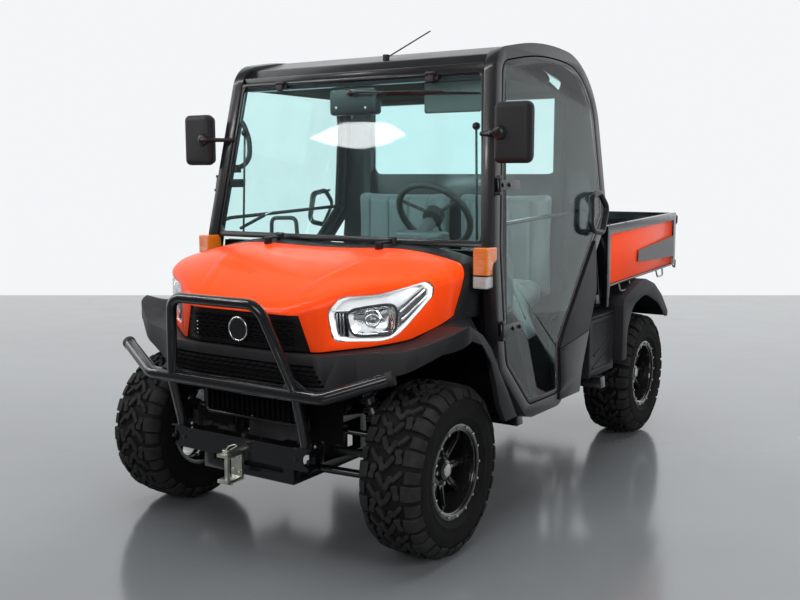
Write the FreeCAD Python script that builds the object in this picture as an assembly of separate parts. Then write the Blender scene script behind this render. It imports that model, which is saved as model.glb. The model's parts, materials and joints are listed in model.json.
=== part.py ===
"""Side by side utility vehicle with a glazed cab and a tipping cargo bed.

Millimetres. X points to the vehicle's left, -Y to its front, Z up. Lengths along Y are written
as the distance behind the front axle, and the finished shapes are moved to the part's frame.
"""
import math
import os

import FreeCAD
import Part
from FreeCAD import Vector

X_AXIS = Vector(1, 0, 0)
Y_AXIS = Vector(0, 1, 0)
Z_AXIS = Vector(0, 0, 1)

# Wheels and their place
WHEELBASE = 2045.0
TRACK = 1234.0
TYRE_RADIUS = 320.0
TYRE_WIDTH = 250.0
TREAD_WIDTH = 204.0
SHOULDER_RADIUS = 284.0
LUG_COUNT = 16
LUG_LENGTH = 52.0
LUG_HEIGHT = 15.0
LUG_SHARES = ((0.24, -0.3), (0.24, 1.0), (0.96, 1.0), (1.2, -0.7), (1.1, -1.6))
SIDEWALL_RADIUS = 238.0
BEAD_WIDTH = 190.0
BEAD_RADIUS = 158.0
RIM_FLANGE_RADIUS = 176.0
RIM_FLANGE = 9.0
RIM_WALL = 8.0
HUB_FACE = 22.0
HUB_THICKNESS = 16.0
HUB_RADIUS = 62.0
HUB_BORE = 24.0
SPOKE_COUNT = 8
SPOKE_WIDTH = 34.0
SPOKE_DEPTH = 18.0
RUNNING_FIT = 0.05
CURVED_GAP = 0.3
OVERRUN = 40.0

# Steering knuckles and hubs
KINGPIN_INSET = 85.0
KINGPIN_RADIUS = 12.0
EYE_RADIUS = 24.0
EYE_HEIGHT = 22.0
KNUCKLE_DROP = 58.0
KNUCKLE_RISE = 68.0
KNUCKLE_GAP = 4.0
KNUCKLE_WIDTH = 60.0
KNUCKLE_THICKNESS = 30.0
KNUCKLE_SWEEP = 40.0
SPINDLE_RADIUS = 26.0
DISC_RADIUS = 104.0
DISC_THICKNESS = 7.0
DISC_INSET = 33.0
CALIPER_LENGTH = 70.0
CALIPER_HEIGHT = 56.0
CALIPER_DEPTH = 40.0

# Chassis
RAIL_X = 170.0
RAIL_WIDTH = 50.0
RAIL_BOTTOM = 264.0
RAIL_HEIGHT = 38.0
RAIL_FRONT = -300.0
RAIL_BEHIND_AXLE = 335.0
FRONT_CROSS_Y = -275.0
LIFT_CROSS_AHEAD = 120.0
LAST_CROSS_BEHIND = 270.0
CROSS_WIDTH = 50.0
BEAM_BOTTOM = 392.0
BEAM_HEIGHT = 50.0
FRONT_BEAM_Y = 470.0
REAR_BEAM_AHEAD = 22.0
TOWER_REACH = 160.0
TOWER_POST = 40.0
TOWER_TOP = 470.0
SHOCK_TOWER_TOP = 740.0
BED_PIN_BEHIND = 275.0
BED_PIN_Z = 850.0
BED_PIN_RADIUS = 12.0
POST_END_RADIUS = 18.0
REST_AHEAD = 285.0
LAMP_BAR_Z = 640.0
LAMP_BAR_REACH = 600.0
LIFT_PIVOT_AHEAD = 110.0
LIFT_PIVOT_Z = 360.0
LIFT_LUG = 10.0
LIFT_LUG_GAP = 5.0
LIFT_LUG_SWEEP = 34.0
ENGINE_BEHIND_CAB = 20.0
ENGINE_AHEAD = 350.0
ENGINE_TOP = 740.0
ENGINE_REACH = 249.0
GEAR_REACH = 190.0
GEAR_LENGTH = 150.0
GEAR_HEIGHT = 105.0
SHAFT_RADIUS = 14.0
BOOT_RADIUS = 34.0
BOOT_LENGTH = 46.0

# Suspension arms and shock absorbers
ARM_SPREAD = 130.0
UPPER_ARM_SPREAD = 150.0
ARM_RADIUS = 15.0
UPPER_ARM_RADIUS = 12.0
UPPER_ARM_Z = 450.0
SHOCK_OFFSET = 42.0
SHOCK_INSET = 102.0
SHOCK_LOW_Z = 262.0
SHOCK_TOP_X = 238.0
SHOCK_TOP_Z = 712.0
SHOCK_ROD_RADIUS = 9.0
SHOCK_BODY_RADIUS = 22.0
SHOCK_EYE = 18.0
SHOCK_BODY_SHARE = 0.8

# Front guard and hitches
CHANNEL_FRONT = -350.0
CHANNEL_DEPTH = 50.0
CHANNEL_REACH = 323.0
CHANNEL_BOTTOM = 342.0
CHANNEL_TOP = 422.0
CHANNEL_WALL = 6.0
NOTCH = 24.0
BAR_RADIUS = 25.0
BAR_Z = 624.0
BAR_Y = -378.0
BAR_BEND_X = 410.0
BAR_END_X = 640.0
BAR_END_Y = -284.0
BAR_END_Z = 706.0
BAR_BEND_RADIUS = 90.0
HOOP_RADIUS = 19.0
HOOP_FOOT_X = 300.0
HOOP_TOP_X = 206.0
HOOP_TOP_Y = -462.0
HOOP_TOP_Z = 941.0
HOOP_BEND_RADIUS = 70.0
UPRIGHT_RADIUS = 21.0
UPRIGHT_Y = -325.0
CLEVIS_REACH = 26.0
CLEVIS_FRONT = -436.0
CLEVIS_BOTTOM = 268.0
CLEVIS_TOP = 376.0
CLEVIS_PLATE = 12.0
CLEVIS_PIN_RADIUS = 9.0
CLEVIS_PIN_Y = -412.0
DRAWBAR_WIDTH = 76.0
DRAWBAR_BEHIND = 431.0
DRAWBAR_THICKNESS = 16.0
DRAWBAR_HOLE = 13.0
DRAWBAR_HOLE_INSET = 36.0

# Hood, grille, lamps, fascia and cowl
WALL = 6.0
MOVING_GAP = 6.0
FORM_TOP = 1260.0
FORM_BOTTOM = 560.0
COWL_REAR = 300.0
HOOD_HALF_WIDTH = 655.0
HOOD_REACH = 635.0
HOOD_CORNER = 100.0
HOOD_PLAN_SHARES = (
    (1.0, 0.0, 0.0), (1.0, 0.44, 2.6), (0.878, 0.646, 2.6), (0.496, 0.921, 0.9), (0.328, 0.992, 1.2))
CREST_BASE = 760.0
CREST_RISE = 352.0
CREST_SHARES = (
    (1.08, 0.29), (0.98, 0.44), (0.85, 0.61), (0.68, 0.76), (0.5, 0.865), (0.3, 0.935), (0.1, 0.98), (-0.1,
                                                                                                      1.0))
CREST_WIDTH = 800.0
CREST_DROP = 110.0
CROSS_CREST_SHARES = (
    (0.0, 0.1), (0.2, 0.075), (0.4, 0.03), (0.55, 0.09), (0.72, 0.3), (0.86, 0.6), (1.0, 1.0))
HOOD_ROUND = 58.0
HOOD_LIP_SHARES = (
    (1.2, 0.005), (0.918, 0.005), (0.762, 0.056), (0.614, 0.128), (0.505, 0.212), (0.325, 0.32),
    (0.24, 0.565), (0.165, 0.838), (0.158, 1.3), (1.2, 1.3))
GRILLE_TOP = 889.0
GRILLE_BOTTOM = 759.0
GRILLE_TOP_X = 260.0
GRILLE_FOOT_X = 313.0
GRILLE_DEPTH = 130.0
GRILLE_SHELL = 10.0
GRILLE_SLOT = 11.0
GRILLE_SLOTS = 6
GRILLE_RIM = 20.0
EMBLEM_RADIUS = 46.0
LAMP_ALONG = 0.8
LAMP_ACROSS = 0.6
LAMP_START = 120.0
LAMP_WIDTH = 388.0
LAMP_LOW = 798.0
LAMP_HEIGHT = 214.0
LAMP_CORNER = 30.0
LAMP_DEPTH = 34.0
LAMP_INSET = 3.0
LAMP_SHARES = (
    (0.052, 0.0, 0.95), (0.593, 0.0, 4.6), (1.0, 0.78, 1.2), (0.948, 1.0, 1.0), (0.464, 0.785, 8.0),
    (0.124, 0.738, 1.5), (0.005, 0.5, 1.0))
LAMP_CENTRE_X = 500.0
LAMP_CENTRE_Y = -160.0
LAMP_THROW = 130.0
SKIRT_HALF_WIDTH = 795.0
SKIRT_REACH = 645.0
SKIRT_PLAN_SHARES = (
    (1.0, 0.0, 0.0), (1.0, 0.589, 0.9), (0.805, 0.752, 2.6), (0.591, 0.837, 3.0), (0.434, 0.969, 0.9),
    (0.25, 1.0, 2.0))
FENDER_LOW = 461.0
FENDER_RISE = 434.0
FENDER_INNER_SHARES = (
    (1.2, 0.668), (0.9, 0.682), (0.752, 0.723), (0.605, 0.782), (0.5, 0.85), (0.32, 0.938), (0.186, 0.988),
    (0.058, 1.0))
FENDER_OUTER_SHARES = (
    (1.2, 0.675), (0.84, 0.746), (0.7, 0.827), (0.605, 0.892), (0.524, 0.926), (0.374, 0.82), (0.264, 0.68),
    (0.174, 0.486))
FENDER_INNER_X = 600.0
ARCH_SHARES = (
    (1.2, 0.385), (0.853, 0.385), (0.775, 0.53), (0.65, 0.71), (0.496, 0.797), (0.375, 0.737),
    (0.27, 0.567), (0.2, 0.353), (0.155, 0.168), (0.077, 0.0))
ARCH_SPAN = 645.0
STRIP_SHARES = (
    (0.2, 0.58), (0.174, 0.486), (0.054, 0.263), (-0.073, 0.0), (0.077, 0.0), (0.155, 0.168), (0.2, 0.353),
    (0.23, 0.46))
STRIP_THICKNESS = 22.0
LINER_RADIUS = 400.0
LINER_INNER_X = 470.0
LINER_FROM = 22.0
LINER_TO = 116.0
SEAM_Y = -95.0
BAY_FLANGE = 46.0
INTAKE_TOP = 722.0
INTAKE_BOTTOM = 640.0
INTAKE_TOP_X = 330.0
INTAKE_FOOT_X = 372.0
INTAKE_SLOT = 10.0
INTAKE_SLOTS = 5
HOOD_PIN_Y = 251.0
HOOD_PIN_X = 281.0
HOOD_PIN_RADIUS = 5.0
HOOD_EYE_RADIUS = 10.0
HOOD_HINGE_WIDTH = 24.0
HOOD_STRAP_REACH = 96.0
HOOD_STRAP_THICKNESS = 5.0
HOOD_PIN_LIFT = 14.0

# Cab side plane and its outlines
PLANE_X = 725.0
PLANE_Y = 330.0
PLANE_Z = 1100.0
CAB_LEAN = 5.58
CAB_SPLAY = 2.43
TUBE = 50.0
OPENING_START = 290.0
OPENING_LENGTH = 1010.0
OPENING_BOTTOM = 476.0
OPENING_HEIGHT = 1410.0
OPENING_CORNER = 60.0
OPENING_SHARES = (
    (0.01, 0.136, 1.0), (0.028, 0.441, 15.0), (0.154, 0.952, 1.17), (0.505, 0.997, 25.0), (0.958, 0.966, 4.6),
    (0.997, 0.513, 1.0), (0.459, 0.14, 0.83), (0.446, 0.0, 0.75), (0.173, 0.0, 1.0))
DOOR_GAP = 6.0
DOOR_BORDER = 16.0
DOOR_THICKNESS = 24.0
DOOR_GLASS = 6.0
QUARTER_THICKNESS = 8.0
QUARTER_SHARES = (
    (0.86, 0.46), (0.43, 0.1), (0.43, -0.02), (0.62, -0.02), (0.655, 0.04), (0.865, 0.275), (0.89, 0.43))
HINGE_LOW_Z = 796.0
HINGE_HIGH_Z = 1341.0
HINGE_FORWARD = 30.0
HINGE_OUT = 10.0
HINGE_PIN_RADIUS = 5.0
HINGE_EYE_RADIUS = 9.0
HINGE_EYE_HEIGHT = 50.0
HINGE_END_GAP = 1.0
HINGE_LUG = 12.0
HINGE_PLATE = 5.0
HINGE_STRAP = 180.0
HANDLE_START = 1085.0
HANDLE_LENGTH = 190.0
HANDLE_LOW = 1118.0
HANDLE_RISE = 180.0
HANDLE_RADIUS = 13.0
HANDLE_STAND = 34.0
HANDLE_SHARES = ((0.0, 0.1, 1.0), (0.16, 0.9, 1.0), (0.62, 1.0, 1.0), (1.0, 0.62, 1.0), (0.62, 0.0, 1.0))
HANDLE_CORNER = 34.0
CROSS_TUBE = 40.0
HEADER_BEHIND_SCREEN = 140.0
PANEL_REACH = 797.5
REAR_POST_X = 515.0
REAR_WALL_BEHIND = 12.0
REAR_WALL = 6.0
REAR_WINDOW_LOW = 1382.0
REAR_WINDOW_TOP = 1740.0
REAR_WINDOW_REACH = 510.0
REAR_WINDOW_CORNER = 40.0
ROOF_THICKNESS = 24.0
ROOF_SHARES = (
    (0.0, 0.0, 0.0), (0.075, 0.5, 0.6), (0.33, 0.87, 3.0), (0.56, 1.0, 4.0), (0.75, 0.93, 3.0),
    (0.9, 0.66, 2.0), (1.0, 0.0, 0.0))
ROOF_FRONT = 398.0
ROOF_LENGTH = 900.0
ROOF_LOW = 1770.0
ROOF_RISE = 150.0
ROOF_CORNER = 50.0

# Windscreen and cab fittings
SCREEN_FOOT_Y = 296.0
SCREEN_FOOT_Z = 1129.0
SCREEN_HEIGHT = 646.0
SCREEN_RAKE = 9.8
SCREEN_FOOT_X = 662.0
SCREEN_TOP_X = 598.0
SCREEN_CORNER = 26.0
SCREEN_FRAME = 22.0
SCREEN_FRAME_LOW = 24.0
SCREEN_FRAME_TOP = 14.0
SCREEN_GLASS = 6.0
FIREWALL_Y = 330.0
SEAT_BASE_FRONT = 800.0
SEAT_BASE_TOP = 780.0
TOE_Y = 404.0
TOE_Z = 600.0
FIREWALL_LOW = 668.0
FIREWALL_TOP = 1088.0
SHEET = 5.0
DASH_REAR = 520.0
DASH_TOP = 1092.0
DASH_LOW = 860.0
DASH_TOP_SHARE = 0.75
DASH_LOW_SHARE = 0.8
WHEEL_X = 300.0
WHEEL_Y = 556.0
WHEEL_Z = 1211.0
WHEEL_TILT = 38.0
WHEEL_RING = 162.0
WHEEL_GRIP = 14.0
WHEEL_HUB = 44.0
WHEEL_HUB_DEPTH = 24.0
COLUMN_RADIUS = 28.0
COLUMN_LENGTH = 330.0
COLUMN_START = 46.0
STUB_RADIUS = 10.0
STUB_DEPTH = 30.0
CUSHION_DEPTH = 360.0
CUSHION_THICKNESS = 110.0
CUSHION_ROUND = 28.0
DRIVER_INNER_X = 40.0
DRIVER_OUTER_X = 560.0
PASSENGER_INNER_X = 20.0
PASSENGER_OUTER_X = -555.0
BACK_TOP = 1315.0
BACK_THICKNESS = 76.0
SOFT_GAP = 0.3
MIRROR_Z = 1534.0
MIRROR_X = 787.0
MIRROR_Y = 300.0
MIRROR_WIDTH = 150.0
MIRROR_HEIGHT = 224.0
MIRROR_DEPTH = 58.0
MIRROR_ROUND = 24.0
MIRROR_ARM = 9.0
ANTENNA_X = 90.0
ANTENNA_Y = 507.0
ANTENNA_TIP_Y = 864.0
ANTENNA_TIP_Z = 2016.0
ANTENNA_RADIUS = 3.0
ANTENNA_BASE = 14.0
ANTENNA_RISE_SHARE = 0.62
SIGNAL_X = 697.0
SIGNAL_WIDTH = 60.0
SIGNAL_FRONT = 212.0
SIGNAL_REAR = 300.0
SIGNAL_LOW = 958.0
SIGNAL_TOP = 1112.0
SIGNAL_ROUND = 8.0

# Rear fenders, side boxes and lamps
REAR_FENDER_X = 790.0
REAR_FENDER_INNER = 575.0
REAR_FENDER_AHEAD = 523.0
REAR_FENDER_LENGTH = 709.0
REAR_FENDER_LOW = 481.0
REAR_FENDER_RISE = 376.0
REAR_FENDER_CORNER = 60.0
REAR_FENDER_SHARES = (
    (0.0, 0.0, 0.0), (0.0, 0.79, 0.7), (0.3, 0.965, 2.0), (0.44, 1.0, 2.0), (0.66, 0.89, 3.0), (0.84, 0.7,
                                                                                                3.0),
    (1.0, 0.436, 0.0), (1.0, -0.2, 0.0), (0.2, -0.2, 0.0), (0.2, 0.0, 0.0))
REAR_ARCH_SHARES = (
    (0.094, -0.3, 0.0), (0.094, 0.35, 2.0), (0.2, 0.68, 2.0), (0.46, 0.79, 4.0), (0.76, 0.6, 4.0),
    (0.95, 0.36, 0.0), (1.1, 0.36, 0.0), (1.1, -0.3, 0.0))
BOX_AHEAD_OF_WALL = 106.0
BOX_OUTER = 745.0
BOX_INNER = 560.0
BOX_TOP = 728.0
BOX_PANEL_RIM = 34.0
BOX_PANEL_DEPTH = 8.0

# Cargo bed
BED_BEHIND_CAB = 69.0
BED_OVERHANG = 395.0
BED_HALF_WIDTH = 757.0
BED_WALL = 27.0
BED_FLOOR = 881.0
BED_FLOOR_THICKNESS = 5.0
BED_TOP = 1166.0
BED_RAIL = 40.0
BED_LOW_RAIL = 10.0
BED_POST = 40.0
BED_POST_FOOT = 783.0
BED_PANEL = 16.0
BED_SHEET = 3.0
BED_RAKE = 1.5
RIB_INNER = 226.0
RIB_WIDTH = 36.0
RIB_HEIGHT = 40.0
RIB_INSET = 39.0
REST_GAP = 5.0
GATE_THICKNESS = 26.0
GATE_GAP = 7.0
GATE_PIN_RADIUS = 8.0
LIFT_BED_AHEAD = 325.0
BARREL_RADIUS = 30.0
BARREL_BORE = 16.0
BARREL_LENGTH = 449.0
LIFT_ROD_RADIUS = 15.95
LIFT_EYE_RADIUS = 26.0
LIFT_EYE_WIDTH = 30.0
LIFT_PIN_RADIUS = 10.0
ROD_EYE_RADIUS = 30.0
ROD_EYE_BORE = 23.0
BED_LUG_PIN = 8.0

# Places that follow from the sizes above
KINGPIN_X = TRACK / 2 - KINGPIN_INSET
DISC_X = TRACK / 2 - DISC_INSET
SHOCK_LOW_X = KINGPIN_X - SHOCK_INSET
KNUCKLE_BOTTOM = TYRE_RADIUS - KNUCKLE_DROP
KNUCKLE_TOP = TYRE_RADIUS + KNUCKLE_RISE
REAR_WALL_Y = OPENING_START + OPENING_LENGTH + REAR_WALL_BEHIND
REAR_BEAM_Y = REAR_WALL_Y - REAR_BEAM_AHEAD
BOX_FRONT = REAR_WALL_Y - BOX_AHEAD_OF_WALL
ENGINE_FRONT = REAR_WALL_Y + ENGINE_BEHIND_CAB
ENGINE_REAR = WHEELBASE - ENGINE_AHEAD
RAIL_REAR = WHEELBASE + RAIL_BEHIND_AXLE
LIFT_CROSS_Y = WHEELBASE - LIFT_CROSS_AHEAD
LAST_CROSS_Y = WHEELBASE + LAST_CROSS_BEHIND
BED_PIN_Y = WHEELBASE + BED_PIN_BEHIND
REST_Y = WHEELBASE - REST_AHEAD
LIFT_PIVOT_Y = WHEELBASE - LIFT_PIVOT_AHEAD
LIFT_BED_Y = WHEELBASE - LIFT_BED_AHEAD
DRAWBAR_REAR = WHEELBASE + DRAWBAR_BEHIND
DRAWBAR_HOLE_Y = DRAWBAR_REAR - DRAWBAR_HOLE_INSET
REAR_FENDER_START = WHEELBASE - REAR_FENDER_AHEAD
BED_FRONT = REAR_WALL_Y + BED_BEHIND_CAB
BED_REAR = WHEELBASE + BED_OVERHANG
RIB_FRONT = BED_FRONT + RIB_INSET


def box(x0, x1, y0, y1, z0, z1):
    """A block between two opposite corners."""
    corner = Vector(min(x0, x1), min(y0, y1), min(z0, z1))
    return Part.makeBox(abs(x1 - x0), abs(y1 - y0), abs(z1 - z0), corner)


def rod(start, end, radius):
    """A round bar from one point to another."""
    return Part.makeCylinder(radius, (end - start).Length, start, end - start)


def fused(shapes):
    """The shapes joined to one."""
    joined = shapes[0]
    for shape in shapes[1:]:
        joined = joined.fuse(shape)
    return joined.removeSplitter()


def mirrored(shape):
    """The shape's twin on the other side of the middle plane."""
    return shape.mirror(Vector(), X_AXIS)


def both_sides(shape):
    """The shape and its twin."""
    return Part.makeCompound([shape, mirrored(shape)])


def placed(shares, start, size, corner=0.0):
    """Outline points from their shares of a size, each with its corner radius."""
    points = []
    for share in shares:
        radius = share[2] * corner if len(share) > 2 else 0.0
        points.append((start[0] + share[0] * size[0], start[1] + share[1] * size[1], radius))
    return points


def symmetrical(points):
    """An outline's half with positive first coordinate, and its mirror image."""
    return list(points) + [(-point[0],) + tuple(point[1:]) for point in reversed(points)]


def rounded_wire(points, closed=True):
    """Straight runs through the points (place, radius), each corner rounded by its radius."""
    count = len(points)
    corners = []
    for index, (place, radius) in enumerate(points):
        if radius == 0 or (not closed and index in (0, count - 1)):
            corners.append((place, None, place))
            continue
        back = (points[index - 1][0] - place).normalize()
        ahead = (points[(index + 1) % count][0] - place).normalize()
        half = back.getAngle(ahead) / 2
        run = radius / math.tan(half)
        middle = place + (back + ahead).normalize() * (radius / math.sin(half) - radius)
        corners.append((place + back * run, middle, place + ahead * run))
    edges = []
    for index, (first, middle, last) in enumerate(corners):
        if middle is not None:
            edges.append(Part.Arc(first, middle, last).toShape())
        if index + 1 < count or closed:
            following = corners[(index + 1) % count][0]
            if (following - last).Length > 1e-6:
                edges.append(Part.makeLine(last, following))
    return Part.Wire(edges)


def side_face(points, x=0.0):
    """A face in the side view from points (y, z, radius)."""
    return Part.Face(rounded_wire([(Vector(x, p[0], p[1]), p[2] if len(p) > 2 else 0.0) for p in points]))


def front_face(points, y=0.0):
    """A face in the front view from points (x, z, radius)."""
    return Part.Face(rounded_wire([(Vector(p[0], y, p[1]), p[2] if len(p) > 2 else 0.0) for p in points]))


def plan_face(points, z=0.0):
    """A face in the plan view from points (x, y, radius)."""
    return Part.Face(rounded_wire([(Vector(p[0], p[1], z), p[2] if len(p) > 2 else 0.0) for p in points]))


def side_prism(points, x0, x1):
    """A side-view outline given a width."""
    return side_face(points, x0).extrude(X_AXIS * (x1 - x0))


def front_prism(points, y0, y1):
    """A front-view outline given a length."""
    return front_face(points, y0).extrude(Y_AXIS * (y1 - y0))


def bent_bar(points, radius):
    """A round bar along straight runs with rounded bends."""
    path = rounded_wire(points, closed=False)
    start = points[0][0]
    ring = Part.Wire(Part.makeCircle(radius, start, points[1][0] - start))
    return path.makePipeShell([ring], True, False).Solids[0]


def in_cab_plane(shape):
    """A flat side piece, drawn with its outer face at X zero, leaned and splayed to the cab's left side."""
    moved = shape.copy()
    pivot = Vector(0, PLANE_Y, PLANE_Z)
    moved.rotate(pivot, Y_AXIS, -CAB_LEAN)
    moved.rotate(pivot, Z_AXIS, -CAB_SPLAY)
    moved.translate(X_AXIS * PLANE_X)
    return moved


def outside_cab(inset):
    """Everything outboard of the cab's left side plane moved in by an inset."""
    reach = WHEELBASE
    slab = box(-inset, reach, PLANE_Y - reach, PLANE_Y + reach, PLANE_Z - reach, PLANE_Z + reach)
    return in_cab_plane(slab)


def between_sides(shape, inset):
    """The part of a shape that lies between the cab's two side planes."""
    outside = outside_cab(inset)
    return shape.cut(outside).cut(mirrored(outside))


def opening_face(growth):
    """The door opening's outline in the cab plane, grown by a distance."""
    points = placed(OPENING_SHARES, (OPENING_START, OPENING_BOTTOM), (OPENING_LENGTH, OPENING_HEIGHT),
                    OPENING_CORNER)
    face = side_face(points)
    return face.makeOffset2D(growth) if growth else face


def front_edge(z):
    """Distance behind the front axle of the door opening's front edge at a height."""
    points = placed(OPENING_SHARES[:3], (OPENING_START, OPENING_BOTTOM), (OPENING_LENGTH, OPENING_HEIGHT))
    first, last = points[:2] if z < points[1][1] else points[1:]
    return first[0] + (last[0] - first[0]) * (z - first[1]) / (last[1] - first[1])


def hinge_axis():
    """A point on the left door's hinge line and the line's upward direction, in the flat side piece."""
    low = Vector(HINGE_OUT, front_edge(HINGE_LOW_Z) - HINGE_FORWARD, HINGE_LOW_Z)
    high = Vector(HINGE_OUT, front_edge(HINGE_HIGH_Z) - HINGE_FORWARD, HINGE_HIGH_Z)
    return low, (high - low).normalize()


def at_height(z):
    """The point of the hinge line, in the flat side piece, at a height."""
    point, slope = hinge_axis()
    return point + slope * ((z - point.z) / slope.z)


def wheel_centre(side, axle_y):
    return Vector(side * TRACK / 2, axle_y, TYRE_RADIUS)


def turned(profile, side, axle_y):
    """A ring turned about a wheel's axle from points (distance outboard of the centre, radius)."""
    points = [Vector(side * (TRACK / 2 + out), axle_y, TYRE_RADIUS + radius) for out, radius in profile]
    wire = Part.makePolygon(points + [points[0]])
    return Part.Face(wire).revolve(Vector(0, axle_y, TYRE_RADIUS), X_AXIS, 360)


def faceted_ring(profile):
    """A ring about the X axis from points (place along it, radius), with one flat to each lug."""
    step = math.pi / LUG_COUNT
    stretch = 1 / math.cos(step / 2)
    faces = []
    for index in range(LUG_COUNT * 2):
        edges = [(index - 0.5) * step, (index + 0.5) * step]
        for point, after in zip(profile, profile[1:] + profile[:1]):
            corners = []
            for (out, radius), turn in ((point, edges[0]), (after, edges[0]), (after, edges[1]), (point,
                                                                                                  edges[1])):
                reach = radius * stretch
                corners.append(Vector(out, reach * math.sin(turn), reach * math.cos(turn)))
            faces.append(Part.Face(Part.makePolygon(corners + corners[:1])))
    ring = Part.Solid(Part.makeShell(faces))
    if ring.Volume < 0:
        ring.reverse()
    return ring


def make_tyre():
    """The left tyre about the X axis: a flatted ring with lugs in turn at its outer and inner shoulder."""
    bead = BEAD_WIDTH / 2
    tread = TREAD_WIDTH / 2
    bulge = TYRE_WIDTH / 2
    carcass = TYRE_RADIUS - LUG_HEIGHT
    ring = faceted_ring([
        (-bead, BEAD_RADIUS), (-bead, RIM_FLANGE_RADIUS), (-bulge, SIDEWALL_RADIUS), (-bulge,
                                                                                      SHOULDER_RADIUS),
        (-tread, carcass), (tread, carcass), (bulge, SHOULDER_RADIUS), (bulge, SIDEWALL_RADIUS),
        (bead, RIM_FLANGE_RADIUS), (bead, BEAD_RADIUS)])
    lugs = []
    for index in range(LUG_COUNT * 2):
        outward = 1 if index % 2 == 0 else -1
        points = []
        for across, rise in LUG_SHARES:
            points.append(Vector(outward * across * tread, -LUG_LENGTH / 2, carcass + rise * LUG_HEIGHT))
        lug = Part.Face(Part.makePolygon(points + points[:1])).extrude(Y_AXIS * LUG_LENGTH)
        lug.rotate(Vector(), X_AXIS, 180 / LUG_COUNT * index)
        lugs.append(lug)
    return ring.fuse(lugs).removeSplitter()


def on_axle(tyre, side, axle_y):
    """A tyre moved to its wheel."""
    placed_tyre = tyre.copy() if side > 0 else mirrored(tyre)
    placed_tyre.translate(wheel_centre(side, axle_y))
    return placed_tyre


def make_rim(side, axle_y):
    """Barrel with two flanges, and a spoked disc set deep inside the outer flange."""
    bead = BEAD_WIDTH / 2
    barrel = BEAD_RADIUS - CURVED_GAP
    inner = barrel - RIM_WALL
    edge = bead + RIM_FLANGE
    flange = RIM_FLANGE_RADIUS - RIM_FLANGE / 3
    ring = turned(((-bead, barrel), (-bead, flange), (-edge, flange), (-edge, inner), (edge, inner), (edge,
                                                                                                      flange),
                   (bead, flange), (bead, barrel)), side, axle_y)
    back = HUB_FACE
    front = back + HUB_THICKNESS
    hub = turned(((back, HUB_BORE / 2 + RUNNING_FIT), (back, HUB_RADIUS), (front, HUB_RADIUS),
                  (front, HUB_BORE / 2 + RUNNING_FIT)), side, axle_y)
    spokes = []
    start = Vector(side * (TRACK / 2 + back), axle_y, TYRE_RADIUS)
    for index in range(SPOKE_COUNT):
        spoke = box(0, side * SPOKE_DEPTH, -SPOKE_WIDTH / 2, SPOKE_WIDTH / 2, HUB_RADIUS - RIM_WALL,
                    inner + RIM_WALL / 2)
        spoke.translate(start)
        spoke.rotate(start, X_AXIS, 360 * (index + 0.5) / SPOKE_COUNT)
        spokes.append(spoke)
    return fused([ring, hub] + spokes)


def make_knuckle(side, axle_y):
    """Upright with its kingpin, brake disc and caliper, and the spindle that carries the wheel."""
    centre = wheel_centre(side, axle_y)
    kingpin = Vector(side * KINGPIN_X, axle_y, 0)
    low = KNUCKLE_BOTTOM - KNUCKLE_GAP - EYE_HEIGHT
    top = KNUCKLE_TOP + KNUCKLE_GAP + EYE_HEIGHT
    pin = rod(kingpin + Z_AXIS * low, kingpin + Z_AXIS * top, KINGPIN_RADIUS)
    half = KNUCKLE_THICKNESS / 2
    upright = box(side * (KINGPIN_X - half), side * (KINGPIN_X + half), axle_y - KNUCKLE_WIDTH / 2,
                  axle_y + KNUCKLE_WIDTH / 2, KNUCKLE_BOTTOM, KNUCKLE_TOP)
    hub_back = centre + X_AXIS * side * (HUB_FACE - KNUCKLE_GAP)
    spindle = rod(Vector(side * KINGPIN_X, axle_y, TYRE_RADIUS), hub_back, SPINDLE_RADIUS)
    nose = rod(hub_back, centre + X_AXIS * side * (HUB_FACE + HUB_THICKNESS), HUB_BORE / 2)
    disc_start = Vector(side * DISC_X, axle_y, TYRE_RADIUS)
    disc = rod(disc_start, disc_start + X_AXIS * side * DISC_THICKNESS, DISC_RADIUS)
    caliper_start = axle_y + KNUCKLE_WIDTH / 2
    caliper = box(side * KINGPIN_X, side * (DISC_X + CALIPER_DEPTH - half), caliper_start,
                  caliper_start + CALIPER_LENGTH, TYRE_RADIUS - CALIPER_HEIGHT / 2,
                  TYRE_RADIUS + CALIPER_HEIGHT / 2)
    return fused([upright, pin, spindle, nose, disc, caliper])


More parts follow.
